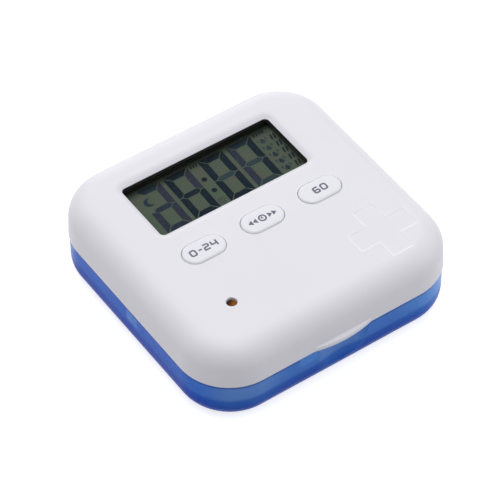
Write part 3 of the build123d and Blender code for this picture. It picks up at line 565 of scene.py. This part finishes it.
def dim_edges(tree, shader):
    """Darkens whatever feeds the shader's colour towards the edges of the display."""
    axes = object_axes(tree)
    colour = shader.inputs["Base Color"].links[0].from_socket
    for axis, start, end, left_over in DIM_EDGES:
        step = smooth_step(tree, axes.outputs[axis], start, end)
        step.inputs["To Min"].default_value = 1.0
        step.inputs["To Max"].default_value = left_over
        dim = tree.nodes.new("ShaderNodeVectorMath")
        dim.operation = "SCALE"
        tree.links.new(colour, dim.inputs[0])
        tree.links.new(step.outputs["Result"], dim.inputs["Scale"])
        colour = dim.outputs["Vector"]
    tree.links.new(colour, shader.inputs["Base Color"])


material, tree, shader = new_finish("lcd_ground", LCD_GREEN, 0.4, Specular_IOR_Level=0.02)
spread_colour(tree, shader, noise(tree, 0.0055, detail=1.0), LCD_GREEN, LCD_BROWN)
spread_roughness(tree, shader, noise(tree, 0.0003), 0.36, 0.44)
dim_edges(tree, shader)
finishes["lcd_panel"] = material
print("finishes", len(finishes))

# %% Inks of the display
SEGMENT_INKS = {
    "dark": (0.014, 0.023, 0.034),
    "blue": (0.028, 0.042, 0.062),
    "violet": (0.037, 0.042, 0.066),
    "teal": (0.038, 0.060, 0.068),
}
for ink, colour in SEGMENT_INKS.items():
    plain_moulding("ink_" + ink, colour, 0.42, 0.0009, 0.0, Specular_IOR_Level=0.02)
    tree = finishes["ink_" + ink].node_tree
    dim_edges(tree, tree.nodes["Principled BSDF"])
print("finishes", len(finishes))

# %% [markdown]
# The window is almost invisible from above and reflects more when it is looked along. So a
# see-through shader is mixed with a glossy one by a share that grows with the fifth power of how
# edge-on the surface is, as it does on real plastic. It is the same on both faces of the window: a
# Fresnel node would turn the lower face into a full mirror for low views.

# %% Window
WINDOW_TINT = (0.97, 0.98, 0.97)
WINDOW_ROUGHNESS = 0.06
EDGE_POWER = 5.0
EDGE_SHARE = 0.1
window = bpy.data.materials.new("clear_window")
window.use_nodes = True
tree = window.node_tree
tree.nodes.remove(tree.nodes["Principled BSDF"])
through = tree.nodes.new("ShaderNodeBsdfTransparent")
through.inputs["Color"].default_value = (*WINDOW_TINT, 1)
mirror = tree.nodes.new("ShaderNodeBsdfAnisotropic")
mirror.inputs["Roughness"].default_value = WINDOW_ROUGHNESS
edge_on = tree.nodes.new("ShaderNodeLayerWeight")
steep = tree.nodes.new("ShaderNodeMath")
steep.operation = "POWER"
steep.inputs[1].default_value = EDGE_POWER
share = tree.nodes.new("ShaderNodeMath")
share.operation = "MULTIPLY"
share.inputs[1].default_value = EDGE_SHARE
clear = tree.nodes.new("ShaderNodeMixShader")
tree.links.new(edge_on.outputs["Facing"], steep.inputs[0])
tree.links.new(steep.outputs[0], share.inputs[0])
tree.links.new(share.outputs[0], clear.inputs[0])
tree.links.new(through.outputs[0], clear.inputs[1])
tree.links.new(mirror.outputs[0], clear.inputs[2])
tree.links.new(clear.outputs[0], tree.nodes["Material Output"].inputs["Surface"])
finishes["clear_window"] = window
print("finishes", len(finishes))

# %% Put the finishes on the CAD parts
slots = {row["node"]: row["material_slot"] for row in frame["record"]["subparts"]}
for name, part in parts.items():
    part.data.materials.clear()
    part.data.materials.append(finishes[slots[name]])
print("dressed", len(parts), "parts")

# %% [markdown]
# ## Display figures
# Each digit has seven bevelled segments with hairline gaps. A segment is drawn as an outline around
# the middle of the digit and given a thickness of two hundredths of a millimetre, so it lies on the
# glass like print. The upper and lower segments are mirror images, so only four outlines are drawn.

# %% Thin print from outlines
GLASS_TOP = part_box("lcd_panel")[1].z
PRINT_HEIGHT = 0.02 * MM


def thin_print(name, outlines, z, ink, body, height=PRINT_HEIGHT):
    """One piece from closed outlines in millimetres, drawn anticlockwise, standing on height z.

    Without a body it is a seed, from which copies are grown later.
    """
    corners, faces, inks = [], [], []
    for number, outline in enumerate(outlines):
        count, first = len(outline), len(corners)
        for level_z in (z, z + height):
            corners += [(x * MM, y * MM, level_z) for x, y in outline]
        low = [first + i for i in range(count)]
        high = [first + count + i for i in range(count)]
        faces.append(low[::-1])
        faces.append(high)
        for i in range(count):
            j = (i + 1) % count
            faces.append([low[i], low[j], high[j], high[i]])
        inks += [number] * (count + 2)
    mesh = bpy.data.meshes.new(name)
    mesh.from_pydata(corners, [], faces)
    names = [ink] * len(outlines) if isinstance(ink, str) else ink
    order = sorted(set(names))
    for one in order:
        mesh.materials.append(finishes[one])
    for face, number in zip(mesh.polygons, inks):
        face.material_index = order.index(names[number])
    piece = bpy.data.objects.new(name, mesh)
    bpy.context.scene.collection.objects.link(piece)
    if body:
        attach(piece, body)
    return piece


# %% Segments of a digit
DIGIT_HALF_WIDTH = 4.2
DIGIT_HALF_HEIGHT = 9.35
UPRIGHT = 2.2
BAR = 2.2
MIDDLE_HALF = 0.94
GAP = 0.17
LEAN = math.tan(math.radians(1.6))
inner = DIGIT_HALF_WIDTH - UPRIGHT
TOP_BAR = [
    (-inner + GAP, DIGIT_HALF_HEIGHT - BAR),
    (inner - GAP, DIGIT_HALF_HEIGHT - BAR),
    (DIGIT_HALF_WIDTH - 2.5 * GAP, DIGIT_HALF_HEIGHT),
    (-DIGIT_HALF_WIDTH + 2.5 * GAP, DIGIT_HALF_HEIGHT),
]
UPPER_RIGHT = [
    (DIGIT_HALF_WIDTH, GAP),
    (DIGIT_HALF_WIDTH, DIGIT_HALF_HEIGHT - 2.5 * GAP),
    (DIGIT_HALF_WIDTH - 0.1, DIGIT_HALF_HEIGHT - 1.7 * GAP),
    (inner, DIGIT_HALF_HEIGHT - BAR - 1.2 * GAP),
    (inner, MIDDLE_HALF + 1.5 * GAP),
    (DIGIT_HALF_WIDTH - 1.0, GAP),
]
# The middle bar is pointed: its flat part ends, then it bends in, then comes its tip
middle_end, middle_bend, middle_tip = inner - 0.2, inner + 0.2, DIGIT_HALF_WIDTH - 1.25
bend_half = MIDDLE_HALF - 0.15
MIDDLE_BAR = [
    (-middle_tip, 0.0),
    (-middle_bend, -bend_half),
    (-middle_end, -MIDDLE_HALF),
    (middle_end, -MIDDLE_HALF),
    (middle_bend, -bend_half),
    (middle_tip, 0.0),
    (middle_bend, bend_half),
    (middle_end, MIDDLE_HALF),
    (-middle_end, MIDDLE_HALF),
    (-middle_bend, bend_half),
]


def mirrored(outline, across_x=False, across_y=False):
    """The outline mirrored, and turned round again so that it still runs anticlockwise."""
    flipped = [(-x if across_x else x, -y if across_y else y) for x, y in outline]
    return flipped[::-1] if across_x != across_y else flipped


SEGMENTS = {
    "top": TOP_BAR,
    "upper_right": UPPER_RIGHT,
    "upper_left": mirrored(UPPER_RIGHT, across_x=True),
    "middle": MIDDLE_BAR,
    "lower_right": mirrored(UPPER_RIGHT, across_y=True),
    "lower_left": mirrored(UPPER_RIGHT, across_x=True, across_y=True),
    "bottom": mirrored(TOP_BAR, across_y=True),
}
print("segments", list(SEGMENTS))

# %% The four digits and the colon
DIGIT_MIDDLE_Y = 18.95
DIGITS = [
    (-18.25, dict(top="blue", upper_right="violet", middle="blue", lower_left="violet",
                  lower_right="violet", bottom="blue")),
    (-8.58, dict(top="dark", upper_left="dark", upper_right="violet", middle="dark",
                 lower_left="dark", lower_right="dark", bottom="dark")),
    (3.55, dict(top="dark", upper_left="dark", upper_right="dark", middle="teal",
                lower_left="dark", lower_right="dark", bottom="dark")),
    (13.25, dict(top="blue", upper_left="violet", upper_right="dark", middle="teal",
                 lower_left="violet", lower_right="dark", bottom="teal")),
]
COLON_X = -2.55
COLON_DOTS = (21.42, 16.32)
DOT_R = 0.85


def circle(x, y, radius, count=28):
    turns = [2 * math.pi * i / count for i in range(count)]
    return [(x + radius * math.cos(a), y + radius * math.sin(a)) for a in turns]


outlines, inks = [], []
for middle_x, segments in DIGITS:
    for segment, ink in segments.items():
        outlines.append([(middle_x + x + LEAN * y, DIGIT_MIDDLE_Y + y)
                         for x, y in SEGMENTS[segment]])
        inks.append("ink_" + ink)
for dot_y in COLON_DOTS:
    outlines.append(circle(COLON_X, dot_y, DOT_R))
    inks.append("ink_dark")
digits = thin_print("display_digits", outlines, GLASS_TOP, inks, "lid")
print("digits", len(digits.data.polygons), "faces")

# %% [markdown]
# ## Small signs on the display
# Beside the time there is a column of bells, one for each alarm, and a column of short strokes that
# counts them. Things in a row are a job for Geometry Nodes: the object holds one sign, a Mesh Line
# gives the places, and each place gets a copy. The tree ends in Realize Instances and Set Material,
# so that the result can be turned into a plain mesh.

# %% Geometry Nodes: a row of copies
def group_input(tree, name, kind, value):
    socket = tree.interface.new_socket(name, in_out="INPUT", socket_type=kind)
    if value is not None:
        socket.default_value = value
    return socket.identifier


def row_tree():
    """Copies of the incoming mesh along a line, with inputs for their number, start and step."""
    tree = bpy.data.node_groups.new("row_of_copies", "GeometryNodeTree")
    tree.interface.new_socket("Geometry", in_out="INPUT", socket_type="NodeSocketGeometry")
    names = {
        "Count": group_input(tree, "Count", "NodeSocketInt", 5),
        "Start": group_input(tree, "Start", "NodeSocketVector", (0, 0, 0)),
        "Step": group_input(tree, "Step", "NodeSocketVector", (0, 0, 0)),
        "Finish": group_input(tree, "Finish", "NodeSocketMaterial", None),
    }
    tree.interface.new_socket("Geometry", in_out="OUTPUT", socket_type="NodeSocketGeometry")
    given = tree.nodes.new("NodeGroupInput")
    line = tree.nodes.new("GeometryNodeMeshLine")
    line.mode = "OFFSET"
    copies = tree.nodes.new("GeometryNodeInstanceOnPoints")
    real = tree.nodes.new("GeometryNodeRealizeInstances")
    dress = tree.nodes.new("GeometryNodeSetMaterial")
    result = tree.nodes.new("NodeGroupOutput")
    tree.links.new(given.outputs["Count"], line.inputs["Count"])
    tree.links.new(given.outputs["Start"], line.inputs["Start Location"])
    tree.links.new(given.outputs["Step"], line.inputs["Offset"])
    tree.links.new(line.outputs["Mesh"], copies.inputs["Points"])
    tree.links.new(given.outputs["Geometry"], copies.inputs["Instance"])
    tree.links.new(copies.outputs["Instances"], real.inputs["Geometry"])
    tree.links.new(real.outputs["Geometry"], dress.inputs["Geometry"])
    tree.links.new(given.outputs["Finish"], dress.inputs["Material"])
    tree.links.new(dress.outputs["Geometry"], result.inputs["Geometry"])
    return tree, names


def grown(seed, name, tree, names, values, body):
    """Runs a tree on the seed object and keeps the result as a plain mesh that rides on a body."""
    modifier = seed.modifiers.new("copies", "NODES")
    modifier.node_group = tree
    for key, value in values.items():
        modifier[names[key]] = value
    ready = seed.evaluated_get(bpy.context.evaluated_depsgraph_get())
    mesh = bpy.data.meshes.new_from_object(ready)
    bpy.data.objects.remove(seed)
    piece = bpy.data.objects.new(name, mesh)
    bpy.context.scene.collection.objects.link(piece)
    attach(piece, body)
    print(name, len(mesh.polygons), "faces")


ROW, ROW_INPUTS = row_tree()

# %% Bells
BELL_COLUMN_X = 20.0
BELL_TOP_Y = 24.28
BELL_PITCH = 3.15
BELL_SCALE = 1.18
bell = [(-0.95, -0.50), (-0.32, -0.50), (-0.28, -0.80), (0.0, -0.95), (0.28, -0.80), (0.32, -0.50),
        (0.95, -0.50), (0.62, -0.15), (0.52, 0.40), (0.36, 0.72), (0.12, 0.85), (0.0, 1.00),
        (-0.12, 0.85), (-0.36, 0.72), (-0.52, 0.40), (-0.62, -0.15)]
wave = [(0.95, 0.22), (1.22, 0.05), (1.36, 0.60), (1.10, 1.15), (0.84, 0.98), (1.04, 0.60)]
bell_signs = [[(x * BELL_SCALE, y * BELL_SCALE) for x, y in sign]
              for sign in (bell, wave, mirrored(wave, across_x=True))]
BELL_ROWS = [("upper_bells", "ink_teal", 0, 2), ("lower_bells", "ink_blue", 2, 3)]
for name, ink, first, count in BELL_ROWS:
    seed = thin_print("bell_seed", bell_signs, 0, ink, None)
    start = (BELL_COLUMN_X * MM, (BELL_TOP_Y - first * BELL_PITCH) * MM, GLASS_TOP)
    step = (0, -BELL_PITCH * MM, 0)
    values = {"Count": count, "Start": start, "Step": step, "Finish": finishes[ink]}
    grown(seed, name, ROW, ROW_INPUTS, values, "lid")

# %% Strokes beside the bells
STROKE_COLUMN_X = 23.5
strokes = [
    [(-0.90, -1.05), (-0.38, -1.05), (0.02, 1.05), (-0.50, 1.05)],
    [(0.15, -1.05), (0.67, -1.05), (1.07, 1.05), (0.55, 1.05)],
]
seed = thin_print("stroke_seed", strokes, 0, "ink_dark", None)
values = {"Count": 5, "Start": (STROKE_COLUMN_X * MM, BELL_TOP_Y * MM, GLASS_TOP),
          "Step": (0, -BELL_PITCH * MM, 0), "Finish": finishes["ink_dark"]}
grown(seed, "alarm_strokes", ROW, ROW_INPUTS, values, "lid")

# %% [markdown]
# A half moon stands left of the time for the night half of the day, a small dial under the colon
# stands for the timer, and a few short bars run along the top edge.

# %% Moon
MOON = (-20.55, 22.98)
MOON_R = 1.65
HOLLOW = (MOON[0] + 0.9, MOON[1])
HOLLOW_R = 1.3
# The arcs end where the two circles cross: start and sweep in degrees
MOON_ARC = (51.7, 256.6)
HOLLOW_ARC = (275.5, -191.0)


def arc(middle, radius, start, sweep, count=21):
    """Points on part of a circle, with both ends."""
    turns = [math.radians(start + sweep * i / (count - 1)) for i in range(count)]
    return [(middle[0] + radius * math.cos(a), middle[1] + radius * math.sin(a)) for a in turns]


moon = arc(MOON, MOON_R, *MOON_ARC) + arc(HOLLOW, HOLLOW_R, *HOLLOW_ARC)
thin_print("moon_sign", [moon], GLASS_TOP, "ink_blue", "lid")
print("moon", len(moon), "points")

# %% Dial and bars
DIAL = (-2.95, 11.88)
TICKS = 8
TICK_FROM, TICK_TO, TICK_HALF = 0.75, 1.15, 0.14
HAND_HALF, HAND_UP = 0.1, 0.55
BAR_PLACES = (-3.5, -2.6, -1.7, 18.6, 19.6, 20.6, 21.6)
BAR_LOW, BAR_HIGH, BAR_WIDTH, BAR_LEAN = 26.98, 28.12, 0.45, 0.3


def strip(x0, x1, y0, y1):
    return [(x0, y0), (x1, y0), (x1, y1), (x0, y1)]


ticks = []
for i in range(TICKS):
    a = 2 * math.pi * i / TICKS
    along = Vector((math.cos(a), math.sin(a)))
    aside = Vector((-along.y, along.x)) * TICK_HALF
    near, far = Vector(DIAL) + along * TICK_FROM, Vector(DIAL) + along * TICK_TO
    ticks.append([tuple(p) for p in (near - aside, far - aside, far + aside, near + aside)])
hand = strip(DIAL[0] - HAND_HALF, DIAL[0] + HAND_HALF, DIAL[1] - HAND_HALF, DIAL[1] + HAND_UP)
bars = []
for x in BAR_PLACES:
    bars.append([(x, BAR_LOW), (x + BAR_WIDTH, BAR_LOW),
                 (x + BAR_WIDTH + BAR_LEAN, BAR_HIGH), (x + BAR_LEAN, BAR_HIGH)])
thin_print("timer_sign", ticks + [hand], GLASS_TOP, "ink_blue", "lid")
thin_print("top_bars", bars, GLASS_TOP, "ink_dark", "lid")
print("ticks", len(ticks), "bars", len(bars))

# %% [markdown]
# A black mask is printed on the glass around the part that is meant to be seen. It hides the edge
# of the display when the box is looked at from the side. It is drawn as four strips.

# %% Black mask round the display
WINDOW_MIDDLE = (-0.35, 19.08)
WINDOW_HALF = (25.5, 10.9)
MASK_REACH = 2.0
left_edge, right_edge = WINDOW_MIDDLE[0] - WINDOW_HALF[0], WINDOW_MIDDLE[0] + WINDOW_HALF[0]
front_edge, back_edge = WINDOW_MIDDLE[1] - WINDOW_HALF[1], WINDOW_MIDDLE[1] + WINDOW_HALF[1]
mask = [
    strip(left_edge - MASK_REACH, right_edge + MASK_REACH, back_edge, back_edge + MASK_REACH),
    strip(left_edge - MASK_REACH, right_edge + MASK_REACH, front_edge - MASK_REACH, front_edge),
    strip(left_edge - MASK_REACH, left_edge, front_edge, back_edge),
    strip(right_edge, right_edge + MASK_REACH, front_edge, back_edge),
]
thin_print("display_mask", mask, GLASS_TOP, "black_frame", "lid")
print("mask", len(mask), "strips")

# %% [markdown]
# ## Marks on the keys
# The keys carry printed marks: plain numbers on the outer keys, and a small clock between arrows on
# the middle one. A mark is a line with a width: each corner is mitred, so the two sides of the line
# stay parallel round every bend.

# %% Lines with a width
LINE = 0.52
LEAST_MITRE = 0.4


def ribbon(points, closed=False, width=LINE):
    """Outlines of a line with mitred corners: one for an open line, one per side for a loop."""
    points = [Vector(p) for p in points]
    count = len(points)
    sides = []
    for i, point in enumerate(points):
        before = points[i - 1] if closed or i > 0 else None
        after = points[(i + 1) % count] if closed or i < count - 1 else None
        way_in = point - before if before is not None else after - point
        way_out = after - point if after is not None else way_in
        way_in, way_out = way_in.normalized(), way_out.normalized()
        middle = (way_in + way_out).normalized()
        reach = width / 2 / max(LEAST_MITRE, middle.dot(way_out))
        aside = Vector((-middle.y, middle.x)) * reach
        sides.append((point - aside, point + aside))
    if not closed:
        return [[tuple(p) for p, _ in sides] + [tuple(q) for _, q in reversed(sides)]]
    quads = []
    for i, (a, b) in enumerate(sides):
        c, d = sides[(i + 1) % count]
        quads.append([tuple(p) for p in (a, c, d, b)])
    return quads


# %% Signs for the keys
SIGN_WIDTH, SIGN_HEIGHT, SIGN_CORNER = 1.6, 2.0, 0.3


def glyph(name, x, y):
    """Outlines of one sign whose middle line has its lower left corner at x, y."""
    w, h, m, c = SIGN_WIDTH, SIGN_HEIGHT, SIGN_HEIGHT / 2, SIGN_CORNER
    shapes = {
        "0": [([(c, 0), (w - c, 0), (w, c), (w, h - c), (w - c, h), (c, h), (0, h - c),
                (0, c)], True)],
        "2": [([(0, h), (w - c, h), (w, h - c), (w, m + c), (w - c, m), (c, m), (0, m - c), (0, 0),
                (w, 0)], False)],
        "4": [([(0, h), (0, m - 0.2), (w - LINE / 2, m - 0.2)], False),
              ([(w, h), (w, -0.1)], False)],
        "6": [([(w, h), (c, h), (0, h - c), (0, c), (c, 0), (w - c, 0), (w, c), (w, m - c),
                (w - c, m), (LINE / 2, m)], False)],
        "-": [([(0.1, m), (1.1, m)], False)],
    }
    outlines = []
    for points, closed in shapes[name]:
        outlines += ribbon([(x + px, y + py) for px, py in points], closed)
    return outlines


print("sign", SIGN_WIDTH, "by", SIGN_HEIGHT, "mm")

# %% Numbers on the outer keys
KEY_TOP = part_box("left_button")[1].z
MARK_Y = -4.28
NUMBER_STEP, DASH_STEP = 2.55, 1.9
LEFT_MARK_X, RIGHT_MARK_X = -19.55, 20.6


def key_number(text, middle_x):
    steps = [DASH_STEP if sign == "-" else NUMBER_STEP for sign in text]
    x = middle_x - (sum(steps) - NUMBER_STEP + SIGN_WIDTH) / 2
    outlines = []
    for sign, step in zip(text, steps):
        outlines += glyph(sign, x, MARK_Y)
        x += step
    return outlines


left_mark, right_mark = key_number("0-24", LEFT_MARK_X), key_number("60", RIGHT_MARK_X)
print("outlines on the outer keys", len(left_mark), len(right_mark))

# %% Clock and arrows on the middle key
CLOCK = (0.55, MARK_Y + SIGN_HEIGHT / 2)
CLOCK_R, CLOCK_LINE, HAND_LINE = 1.05, 0.5, 0.3
CLOCK_HANDS = [(-0.42, 0.3), (0.0, -0.1), (0.0, 0.62)]
ARROW_LENGTH, ARROW_HALF, ARROW_PLACES = 1.35, 0.95, (1.9, 3.4)


def arrow(x, y, way):
    points = [(x, y - ARROW_HALF), (x + way * ARROW_LENGTH, y), (x, y + ARROW_HALF)]
    return points if way > 0 else points[::-1]


clock = ribbon(circle(*CLOCK, CLOCK_R, 20), closed=True, width=CLOCK_LINE)
clock += ribbon([(CLOCK[0] + x, CLOCK[1] + y) for x, y in CLOCK_HANDS], width=HAND_LINE)
for way in (-1, 1):
    for shift in ARROW_PLACES:
        clock.append(arrow(CLOCK[0] + way * shift, CLOCK[1], way))
print("outlines on the middle key", len(clock))

# %% Print the keys
thin_print("left_key_mark", left_mark, KEY_TOP, "print_grey", "left_button")
thin_print("middle_key_mark", clock, KEY_TOP, "print_grey", "middle_button")
thin_print("right_key_mark", right_mark, KEY_TOP, "print_grey", "right_button")
print("keys printed")

# %% [markdown]
# ## Moulded marks
# A mould leaves traces that make plastic look real: rings where ejector pins pushed the part out,
# and ribs where a finger has to grip. The rings on the floor of each compartment come from a grid
# tree, which works as the row did but in two directions. The ribs on the battery door are a row.

# %% Geometry Nodes: a grid of copies
def grid_tree():
    """Copies of the incoming mesh on a grid in X and Y, with inputs for counts and sizes."""
    tree = bpy.data.node_groups.new("grid_of_copies", "GeometryNodeTree")
    tree.interface.new_socket("Geometry", in_out="INPUT", socket_type="NodeSocketGeometry")
    names = {
        "Count X": group_input(tree, "Count X", "NodeSocketInt", 2),
        "Count Y": group_input(tree, "Count Y", "NodeSocketInt", 2),
        "Size X": group_input(tree, "Size X", "NodeSocketFloat", 0.01),
        "Size Y": group_input(tree, "Size Y", "NodeSocketFloat", 0.01),
        "Middle": group_input(tree, "Middle", "NodeSocketVector", (0, 0, 0)),
        "Finish": group_input(tree, "Finish", "NodeSocketMaterial", None),
    }
    tree.interface.new_socket("Geometry", in_out="OUTPUT", socket_type="NodeSocketGeometry")
    given = tree.nodes.new("NodeGroupInput")
    grid = tree.nodes.new("GeometryNodeMeshGrid")
    shift = tree.nodes.new("GeometryNodeTransform")
    copies = tree.nodes.new("GeometryNodeInstanceOnPoints")
    real = tree.nodes.new("GeometryNodeRealizeInstances")
    dress = tree.nodes.new("GeometryNodeSetMaterial")
    result = tree.nodes.new("NodeGroupOutput")
    for name, socket in (("Count X", "Vertices X"), ("Count Y", "Vertices Y"), ("Size X", "Size X"),
                         ("Size Y", "Size Y")):
        tree.links.new(given.outputs[name], grid.inputs[socket])
    tree.links.new(grid.outputs["Mesh"], shift.inputs["Geometry"])
    tree.links.new(given.outputs["Middle"], shift.inputs["Translation"])
    tree.links.new(shift.outputs["Geometry"], copies.inputs["Points"])
    tree.links.new(given.outputs["Geometry"], copies.inputs["Instance"])
    tree.links.new(copies.outputs["Instances"], real.inputs["Geometry"])
    tree.links.new(real.outputs["Geometry"], dress.inputs["Geometry"])
    tree.links.new(given.outputs["Finish"], dress.inputs["Material"])
    tree.links.new(dress.outputs["Geometry"], result.inputs["Geometry"])
    return tree, names


GRID, GRID_INPUTS = grid_tree()

# %% Ejector pin rings in the tray
def ring_seed(radius, width, height, count=40):
    """A flat ring with a low, rounded section, standing on z = 0. Sizes in millimetres."""
    section = [(-1.0, 0.0), (1.0, 0.0), (0.7, 0.7), (0.0, 1.0), (-0.7, 0.7)]
    corners, faces = [], []
    for i in range(count):
        a = 2 * math.pi * i / count
        for out, rise in section:
            r = (radius + out * width / 2) * MM
            corners.append((r * math.cos(a), r * math.sin(a), rise * height * MM))
    n = len(section)
    for i in range(count):
        j = (i + 1) % count
        for k in range(n):
            m = (k + 1) % n
            faces.append((i * n + k, j * n + k, j * n + m, i * n + m))
    mesh = bpy.data.meshes.new("ring_seed")
    mesh.from_pydata(corners, [], faces)
    seed = bpy.data.objects.new("ring_seed", mesh)
    bpy.context.scene.collection.objects.link(seed)
    return seed


TRAY_FLOOR = 1.6 * MM
TRAY_MIDDLE_Y = -0.22 * MM
SINK = 0.01 * MM
PINS, PIN_FIELD = 4, 54 * MM
PIN_R, PIN_LINE, PIN_RISE = 2.2, 0.3, 0.09
values = {"Count X": PINS, "Count Y": PINS, "Size X": PIN_FIELD, "Size Y": PIN_FIELD,
          "Middle": (0, TRAY_MIDDLE_Y, TRAY_FLOOR - SINK), "Finish": finishes["blue_tray"]}
seed = ring_seed(PIN_R, PIN_LINE, PIN_RISE)
grown(seed, "tray_pin_rings", GRID, GRID_INPUTS, values, "tray")

# %% [markdown]
# The alarm light sits in its hole with a thin white sleeve around it, as the pale crescent behind
# it shows. The sleeve is the same ring, higher and narrower, grown once by the row tree.

# %% Sleeve round the alarm light
SHOULDER = 0.6 * MM
SLEEVE_R, SLEEVE_WALL, SLEEVE_RISE = 1.575, 0.12, 0.7
sleeve_foot = (LIGHT_MIDDLE.x, LIGHT_MIDDLE.y, light_high.z - SHOULDER)
values = {"Count": 1, "Start": sleeve_foot, "Step": (0, 0, 0), "Finish": finishes["holder_plastic"]}
seed = ring_seed(SLEEVE_R, SLEEVE_WALL, SLEEVE_RISE)
grown(seed, "light_sleeve", ROW, ROW_INPUTS, values, "lid")

# %% Ribs on the battery door
FIRST_RIB_X, FIRST_RIB_Y = 14.0 * MM, -32.6 * MM
RIBS, RIB_PITCH = 5, 1.25 * MM
DOOR_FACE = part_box("battery_door")[0].z
RIB_HALF_LENGTH, RIB_HALF_WIDTH, RIB_POINT = 3.5, 0.275, 0.2
RIB_HEIGHT = 0.28 * MM
end = RIB_HALF_LENGTH - RIB_POINT
rib_outline = [(-end, -RIB_HALF_WIDTH), (end, -RIB_HALF_WIDTH), (RIB_HALF_LENGTH, 0),
               (end, RIB_HALF_WIDTH), (-end, RIB_HALF_WIDTH), (-RIB_HALF_LENGTH, 0)]
seed = thin_print("rib_seed", [rib_outline], 0, "white_cover", None, height=RIB_HEIGHT)
values = {"Count": RIBS, "Start": (FIRST_RIB_X, FIRST_RIB_Y, DOOR_FACE - RIB_HEIGHT + SINK),
          "Step": (0, RIB_PITCH, 0), "Finish": finishes["white_cover"]}
grown(seed, "door_ribs", ROW, ROW_INPUTS, values, "battery_door")

# %% Finish
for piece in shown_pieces():
    if piece.name not in parts:
        print("added", piece.name, len(piece.data.vertices), "corners")
